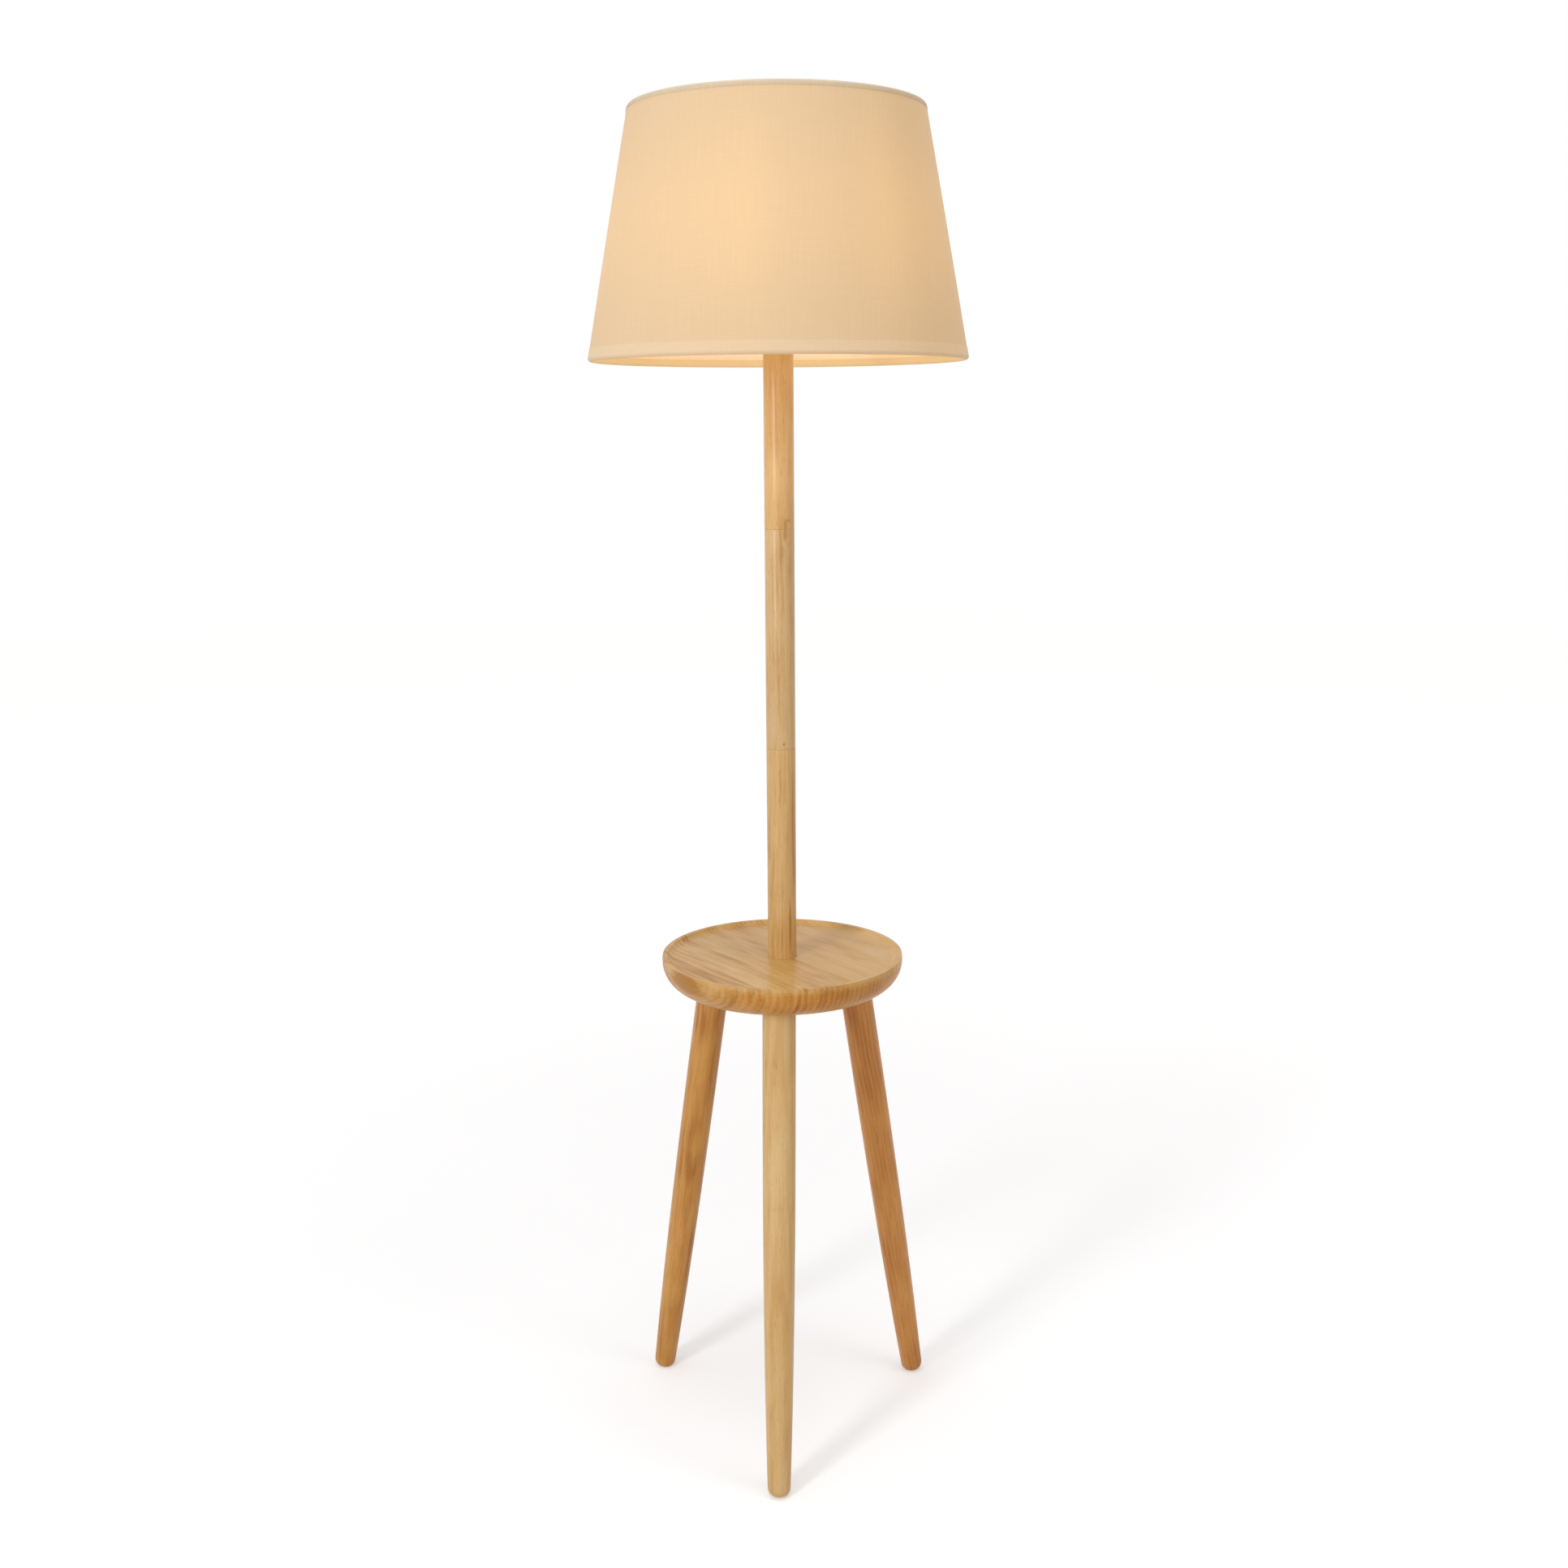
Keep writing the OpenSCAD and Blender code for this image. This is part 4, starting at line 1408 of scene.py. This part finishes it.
@dataclass
class Shade:
    """The shade: cloth round two wires, edging tape, and the carrier of fitter and spokes."""

    bottom_r: float = 207.55
    top_r: float = 159.05
    bottom_z: float = 1285.95
    top_z: float = 1546.55
    wire_r: float = 1.75
    roll_r: float = 2.15
    cloth_t: float = 0.9
    tape_t: float = 0.4
    tape_in: float = 6.0
    tape_bottom: float = 10.0
    tape_top: float = 3.0
    spoke_r: float = 1.5
    spoke_turns: tuple[float, ...] = (90.0, 210.0, 330.0)
    fitter_r: float = 29.1
    fitter_bore_r: float = 20.1
    fitter_z: float = 1348.3
    fitter_t: float = 2.2
    spoke_in: float = 11.0
    spoke_out: float = 12.0
    bend_r: float = 12.0
    seam_deg: float = 84.0
    seam_w: float = 12.0
    columns: int = 480
    # height of the cloth's unevenness and of the seam's step
    unevenness: float = 0.12
    seam_t: float = 0.35
    # the hem is cut back this far from a spoke's middle, and comes back over the fade
    notch: float = 3.2
    notch_fade: float = 1.2
    # height of the weld beads
    bead: float = 0.55

    # the glow: heading of one valley, height of the bulb's middle, reach up and down
    valley_deg: ClassVar[float] = -74.7
    glow_z: ClassVar[float] = 1424.0
    glow_reach: ClassVar[float] = 95.0

    @property
    def wall_l(self) -> float:
        """Length of the wall from wire to wire."""
        return math.hypot(self.bottom_r - self.top_r, self.top_z - self.bottom_z)

    @property
    def tilt(self) -> float:
        """Lean of the wall from upright, in radians."""
        return math.atan2(self.bottom_r - self.top_r, self.top_z - self.bottom_z)

    def round_wires(self, run: np.ndarray, centre: float) -> tuple[np.ndarray, np.ndarray]:
        """Follows a path up the wall that hooks round both wires.

        The path runs down the inside of the bottom wire, half round it, up the wall, half round
        the top wire and down its inside. It is measured from the start of the bottom hook.

        Args:
            run: distances along the path.
            centre: distance of the path from the wires' middles.

        Returns:
            The distance out of the wires' line and the distance up the wall, for each point.
        """
        half = math.pi * centre
        stops = np.cumsum([self.tape_in, half, self.wall_l, half])
        foot = (run - stops[0]) / centre
        head = (run - stops[2]) / centre
        # inside, round the bottom wire, up the wall, round the top wire, and else inside again
        parts = [run < stop for stop in stops]
        outs = [-centre, -centre * np.cos(foot), centre, centre * np.cos(head)]
        ups = [
            self.tape_in - run,
            -centre * np.sin(foot),
            run - stops[1],
            self.wall_l + centre * np.sin(head),
        ]
        down = self.wall_l - (run - stops[3])
        return np.select(parts, outs, -centre), np.select(parts, ups, down)

    def on_cone(self, out: np.ndarray, up: np.ndarray, angle: np.ndarray) -> np.ndarray:
        """Puts points on the shade's cone.

        Args:
            out: distances out of the wires' line.
            up: distances up the wall.
            angle: angles round the shade.

        Returns:
            The points.
        """
        radius = self.bottom_r + out * math.cos(self.tilt) - up * math.sin(self.tilt)
        height = self.bottom_z + out * math.sin(self.tilt) + up * math.cos(self.tilt)
        return np.stack([radius * np.cos(angle), radius * np.sin(angle), height], -1)

    def wave(self, up: np.ndarray, angle: np.ndarray) -> np.ndarray:
        """Gives how far the cloth stands off its straight line.

        A slow unevenness, a sum of three sines round the shade that fades at the wires, and the
        step of the lapped seam at the back.

        Args:
            up: distances up the wall.
            angle: angles round the shade.

        Returns:
            The distance outwards.
        """
        slow = np.sin(5 * angle + 0.7) + 0.7 * np.sin(9 * angle + 2.1) + 0.5 * np.sin(14 * angle)
        fade = np.clip(np.sin(np.clip(up / self.wall_l, 0, 1) * math.pi), 0, 1)
        across = angle_between(angle, self.seam_deg) * self.bottom_r
        lap = np.clip((self.seam_w / 2 - across) / 1.5 + 0.5, 0, 1)
        step = self.seam_t * lap * np.clip(fade * 8, 0, 1)
        return self.unevenness * (slow + 2.2) * fade + step

    def band(
        self, name: str, start: float, end: float, inner: float, thick: float, rows: int
    ) -> bpy.types.Object:
        """Makes a band of cloth that follows the path round the wires.

        Near a spoke the hem inside the bottom wire is cut back so that the spoke passes.

        Args:
            name: name of the piece.
            start: distance along the path where the band starts.
            end: distance along the path where it ends.
            inner: distance of its inner face from the wires' middles.
            thick: its thickness.
            rows: number of rows along the path.

        Returns:
            The piece, with its flat map: the cone unrolled, in metres.
        """
        seam = math.radians(self.seam_deg)
        angle = seam + np.arange(self.columns + 1) * TAU / self.columns
        near = np.min([angle_between(angle, t) for t in self.spoke_turns], 0) * self.bottom_r
        clear = np.clip((near - self.notch) / self.notch_fade, 0, 1)
        middle = inner + thick / 2
        first = np.maximum(start, (1 - clear) * (self.tape_in + middle))
        even = np.linspace(0, 1, rows)
        hook = (self.tape_in + math.pi * middle) / (end - start)
        if end > self.tape_in + math.pi * middle + self.wall_l / 2:
            # more rows round the wires than up the wall
            even = np.interp(even, [0, 0.3, 0.7, 1], [0, hook * 1.05, 1 - hook * 1.05, 1])
        run = np.maximum(start + (end - start) * even[:, None], first)
        faces = []
        for distance in (middle + thick / 2, middle - thick / 2):
            # round the wires a face keeps its distance from their middle, on the wall from its line
            out, up = self.round_wires(run, middle)
            share = distance / middle
            hooked = (up < 0) | (up > self.wall_l) | (out < 0)
            out_face = np.where(hooked, out * share, distance)
            up_face = np.where(up < 0, up * share, up)
            up_face = np.where(up > self.wall_l, self.wall_l + (up - self.wall_l) * share, up_face)
            out_face = out_face + np.where(hooked, 0, self.wave(up, angle))
            faces.append(self.on_cone(out_face, up_face, angle)[:, :-1])
        slant = self.bottom_r / math.sin(self.tilt) - run
        fan = (angle - seam - math.pi) * math.sin(self.tilt)
        flat = np.stack([slant * np.sin(fan), slant * np.cos(fan)], -1) * MM
        flat = np.concatenate([flat, flat[::-1], flat[:1]])
        grid = np.concatenate([faces[0], faces[1][::-1]])
        return grid_object(name, [grid], True, sharp_deg=60.0, flat=flat)

    def spoke_path(self) -> tuple[np.ndarray, np.ndarray]:
        """Gives a spoke's path.

        Level from the fitter, round a bend, down a slope, round a bend the other way and level
        into the bottom wire.

        Returns:
            The path's points and the direction along it at each, in radius and height.
        """
        level = self.fitter_z + self.fitter_t / 2
        corners = [
            (self.fitter_r - 2.0, level, 0.0),
            (self.fitter_r + self.spoke_in, level, self.bend_r),
            (self.bottom_r - self.spoke_out, self.bottom_z, self.bend_r),
            (self.bottom_r - self.wire_r + 0.3, self.bottom_z, 0.0),
        ]
        line = rounded_line(corners, steps=12)
        run = run_along(line)
        fine = np.unique(np.concatenate([run, np.linspace(0, run[-1], 90)]))
        path = np.stack([np.interp(fine, run, line[:, k]) for k in (0, 1)], -1)
        way = np.gradient(path, fine, axis=0)
        return path, way / np.linalg.norm(way, axis=1)[:, None]

    def spoke_grids(self) -> list[np.ndarray]:
        """Gives the three spokes' points.

        Each is a round wire carried along the path, closed at both ends. Its radius swells near
        each end by a bead of weld, the exponential of minus the square of the distance from the
        weld over its reach.

        Returns:
            The three spokes' grids of points on the lamp.
        """
        path, way = self.spoke_path()
        sides = 24
        turn = angles(sides)
        run = run_along(path)
        # one weld where the wire leaves the fitter, one where it meets the bottom wire
        weld = np.exp(-(((run - 2.6) / 1.3) ** 2)) + np.exp(-(((run - run[-1]) / 1.6) ** 2))
        radius = (self.spoke_r + self.bead * weld)[:, None]
        normal = np.stack([-way[:, 1], way[:, 0]], -1)
        reach = path[:, None, :] + radius[..., None] * np.cos(turn)[None, :, None] * normal[:, None]
        side = radius * np.sin(turn)
        tube = np.stack([reach[..., 0], side, reach[..., 1]], -1)
        ends = [np.repeat([[[p[0], 0.0, p[1]]]], sides, 1) for p in (path[0], path[-1])]
        tube = np.concatenate([ends[0], tube, ends[1]])
        return [placed(tube, t, 0.0, (0.0, 0.0, 0.0)) for t in self.spoke_turns]

    def fitter_profile(self) -> np.ndarray:
        """Gives the outline of the stamped fitter, with its edges eased.

        It starts and ends in the middle of the lower face, so that all four edges are between
        others.

        Returns:
            Closed outline as (radius, height) points.
        """
        low, high = self.fitter_z, self.fitter_z + self.fitter_t
        middle = (self.fitter_r + self.fitter_bore_r) / 2
        return rounded_line(
            [
                (middle, low, 0.0),
                (self.fitter_r, low, 0.7),
                (self.fitter_r, high, 0.7),
                (self.fitter_bore_r, high, 0.5),
                (self.fitter_bore_r, low, 0.5),
                (middle - 0.5, low, 0.0),
            ],
            steps=5,
        )

    def build(self) -> None:
        """Makes the cloth, the tapes and the carrier, and dresses the wires and the film."""
        linen = ShadeCloth(
            "linen_cotton_plain_weave",
            "C7B296",
            "C2AD90",
            thread_mm=1.1,
            glow=0.4,
            dim_glow="C7A070",
            full_glow="F9C27A",
        )
        # the same tape twice: the lower one is lit through by the bulb, the upper one hardly
        lower = ShadeCloth(
            "cotton_tape_lower",
            "CABAA1",
            "C4B399",
            thread_mm=0.9,
            glow=0.4,
            dim_glow="CBA67C",
            full_glow="F6C282",
            inside_r_mm=self.bottom_r,
        )
        upper = ShadeCloth(
            "cotton_tape_upper",
            "D3C4AE",
            "CBBBA2",
            thread_mm=0.9,
            glow=0.06,
            dim_glow="C49C6C",
            full_glow="E0A860",
        )
        outer = self.roll_r + self.cloth_t
        cloth_path = math.pi * (self.roll_r + self.cloth_t / 2)
        tape_path = math.pi * (outer + self.tape_t / 2)
        whole = 2 * self.tape_in + 2 * cloth_path + self.wall_l
        # the cloth ends 1 mm before the tapes that cover it
        wall = self.band("shade_wall_cloth", 1.0, whole - 1.0, self.roll_r, self.cloth_t, rows=90)
        end = self.tape_in + tape_path + self.tape_bottom
        bottom = self.band("shade_bottom_tape", 0.0, end, outer, self.tape_t, rows=40)
        start = self.tape_in + tape_path + self.wall_l - self.tape_top
        end = start + self.tape_top + tape_path + self.tape_in
        top = self.band("shade_top_tape", start, end, outer, self.tape_t, rows=34)
        for piece, finish in ((wall, linen), (bottom, lower), (top, upper)):
            dress(piece, finish, "shade", "shade_cover")
        spokes = grid_object("shade_spokes_bent", self.spoke_grids(), sharp_deg=60.0)
        dress(spokes, ENAMEL, "shade", "shade_spokes")
        fitter = grid_object("shade_fitter_stamped", [revolved(self.fitter_profile())], True)
        dress(fitter, ENAMEL, "shade", "shade_fitter")
        dress_nodes(ENAMEL, "shade_top_ring", "shade_bottom_ring")
        dress_nodes(LINER, "shade_liner")


# The studio


@dataclass
class Studio:
    """Camera, floor, lamps and surroundings; the camera's heading, dip and roll in radians."""

    camera_mm: tuple[float, float, float] = (82.7, -1983.6, 1214.1)
    yaw: float = -0.04
    pitch: float = 0.2047
    roll: float = -0.0064
    lens_mm: float = 39.79
    sensor_mm: float = 36.0

    PAPER: ClassVar[str] = "EAECF0"
    BOUNCE: ClassVar[str] = "DDD4C8"
    # each lamp's name, place and size in metres, and watts
    SOFTBOXES: ClassVar[tuple[Any, ...]] = (
        ("softbox_left", (-1.5, -2.1, 1.7), (0.45, 2.0), 31.0),
        ("softbox_right", (2.1, -1.1, 1.75), (1.2, 1.8), 8.5),
        ("softbox_top", (0.2, -0.3, 3.2), (1.6, 1.6), 22.0),
    )
    AIM: ClassVar[Vector] = Vector((0, 0, 0.85))
    BULB_AT: ClassVar[Vector] = Vector((0, 0, 1.431))
    BULB_LIGHT: ClassVar[str] = "FFDAB4"
    BULB_WATTS: ClassVar[float] = 0.22
    BULB_R: ClassVar[float] = 0.028

    def camera(self) -> None:
        """Sets the camera at the photograph's place, from its heading, dip and roll."""
        level, dip = math.cos(self.pitch), math.sin(self.pitch)
        ahead = Vector((math.sin(self.yaw) * level, math.cos(self.yaw) * level, -dip))
        right = Vector((math.cos(self.yaw), -math.sin(self.yaw), 0))
        up = right.cross(ahead)
        tipped_right = right * math.cos(self.roll) + up * math.sin(self.roll)
        tipped_up = up * math.cos(self.roll) - right * math.sin(self.roll)
        data = bpy.data.cameras.new("studio_camera")
        data.lens = self.lens_mm
        data.sensor_width = self.sensor_mm
        data.clip_end = 50.0
        camera = self.hung("studio_camera", data)
        turn = Matrix((tipped_right, tipped_up, -ahead)).transposed().to_4x4()
        camera.matrix_world = Matrix.Translation(Vector(self.camera_mm) * MM) @ turn
        bpy.context.scene.camera = camera
        log.info("camera at %s mm, %.2f mm lens", self.camera_mm, self.lens_mm)

    def hung(self, name: str, data: bpy.types.ID) -> bpy.types.Object:
        """Makes an object of a camera or a lamp.

        Args:
            name: the object's name.
            data: the camera or the lamp.

        Returns:
            The object, in the scene.
        """
        thing = bpy.data.objects.new(name, data)
        bpy.context.scene.collection.objects.link(thing)
        return thing

    def floor(self) -> None:
        """Lays a pale round floor that the camera sees as white, with the lamp's soft shadow."""
        rings = [[0.0, 0.0], [300.0, 0.0], [1500.0, 0.0], [9000.0, 0.0]]
        floor = grid_object("studio_floor", [revolved(np.array(rings), 64)])
        material, nodes = new_material("matt_white_paper")
        paper = nodes.add("BsdfDiffuse", {"Color": linear(self.PAPER)})
        bounce = nodes.add("BsdfDiffuse", {"Color": linear(self.BOUNCE)})
        # the paper turns brighter away from the lamp, until it is white
        level = nodes.span(nodes.length(nodes.place()), 0.5, 3.0, 0.33, 0.6, smooth=True)
        glow = nodes.add("Emission", {"Strength": level})
        lit = nodes.add("AddShader", {0: paper, 1: glow})
        nodes.close(nodes.add("MixShader", {0: nodes.seen_directly(), 1: bounce, 2: lit}))
        floor.data.materials.append(material)
        floor.data.flip_normals()

    def surroundings(self) -> None:
        """Lights the scene evenly and shows white all round."""
        world = bpy.data.worlds.new("studio_world")
        world.use_nodes = True
        nodes = Nodes(world.node_tree)
        # the room is dimmer and warmer towards the right
        right = nodes.split(nodes.place("Generated"))[0]
        level = nodes.span(right, -0.3, 0.9, 0.54, 0.42)
        tint = nodes.ramp(nodes.span(right, -1.0, 1.0), (0.45, "FFFFFF"), (0.95, "F3DBBA"))
        even = nodes.add("Background", {"Color": tint, "Strength": level})
        white = nodes.add("Background", {"Color": (1, 1, 1, 1), "Strength": 1.0})
        seen = nodes.seen_directly()
        nodes.close(nodes.add("MixShader", {0: seen, 1: even, 2: white}), "OutputWorld")
        bpy.context.scene.world = world

    def lamps(self) -> None:
        """Hangs the soft lamps, which face the middle of the object, and lights its bulb."""
        for name, at, size, power in self.SOFTBOXES:
            data = bpy.data.lights.new(name, "AREA")
            data.shape = "RECTANGLE"
            data.size, data.size_y = size
            data.energy = power
            lamp = self.hung(name, data)
            lamp.location = at
            lamp.rotation_euler = (self.AIM - Vector(at)).to_track_quat("-Z", "Y").to_euler()
        data = bpy.data.lights.new("bulb_light", "POINT")
        data.energy = self.BULB_WATTS
        data.color = linear(self.BULB_LIGHT)[:3]
        data.shadow_soft_size = self.BULB_R
        self.hung("bulb_light", data).location = self.BULB_AT

    def build(self) -> None:
        """Makes everything round the lamp."""
        self.camera()
        self.floor()
        self.surroundings()
        self.lamps()
        log.info("studio ready")


def main() -> None:
    """Builds the studio and the lamp."""
    logging.basicConfig(level=logging.INFO, format="%(message)s")
    bpy.context.scene.view_settings.view_transform = "Standard"
    for assembly in (Studio(), Legs(), Pole(), Shelf(), Lampholder(), Bulb(), Shade()):
        assembly.build()
    log.info("sizes written")


if __name__ == "__main__":
    main()
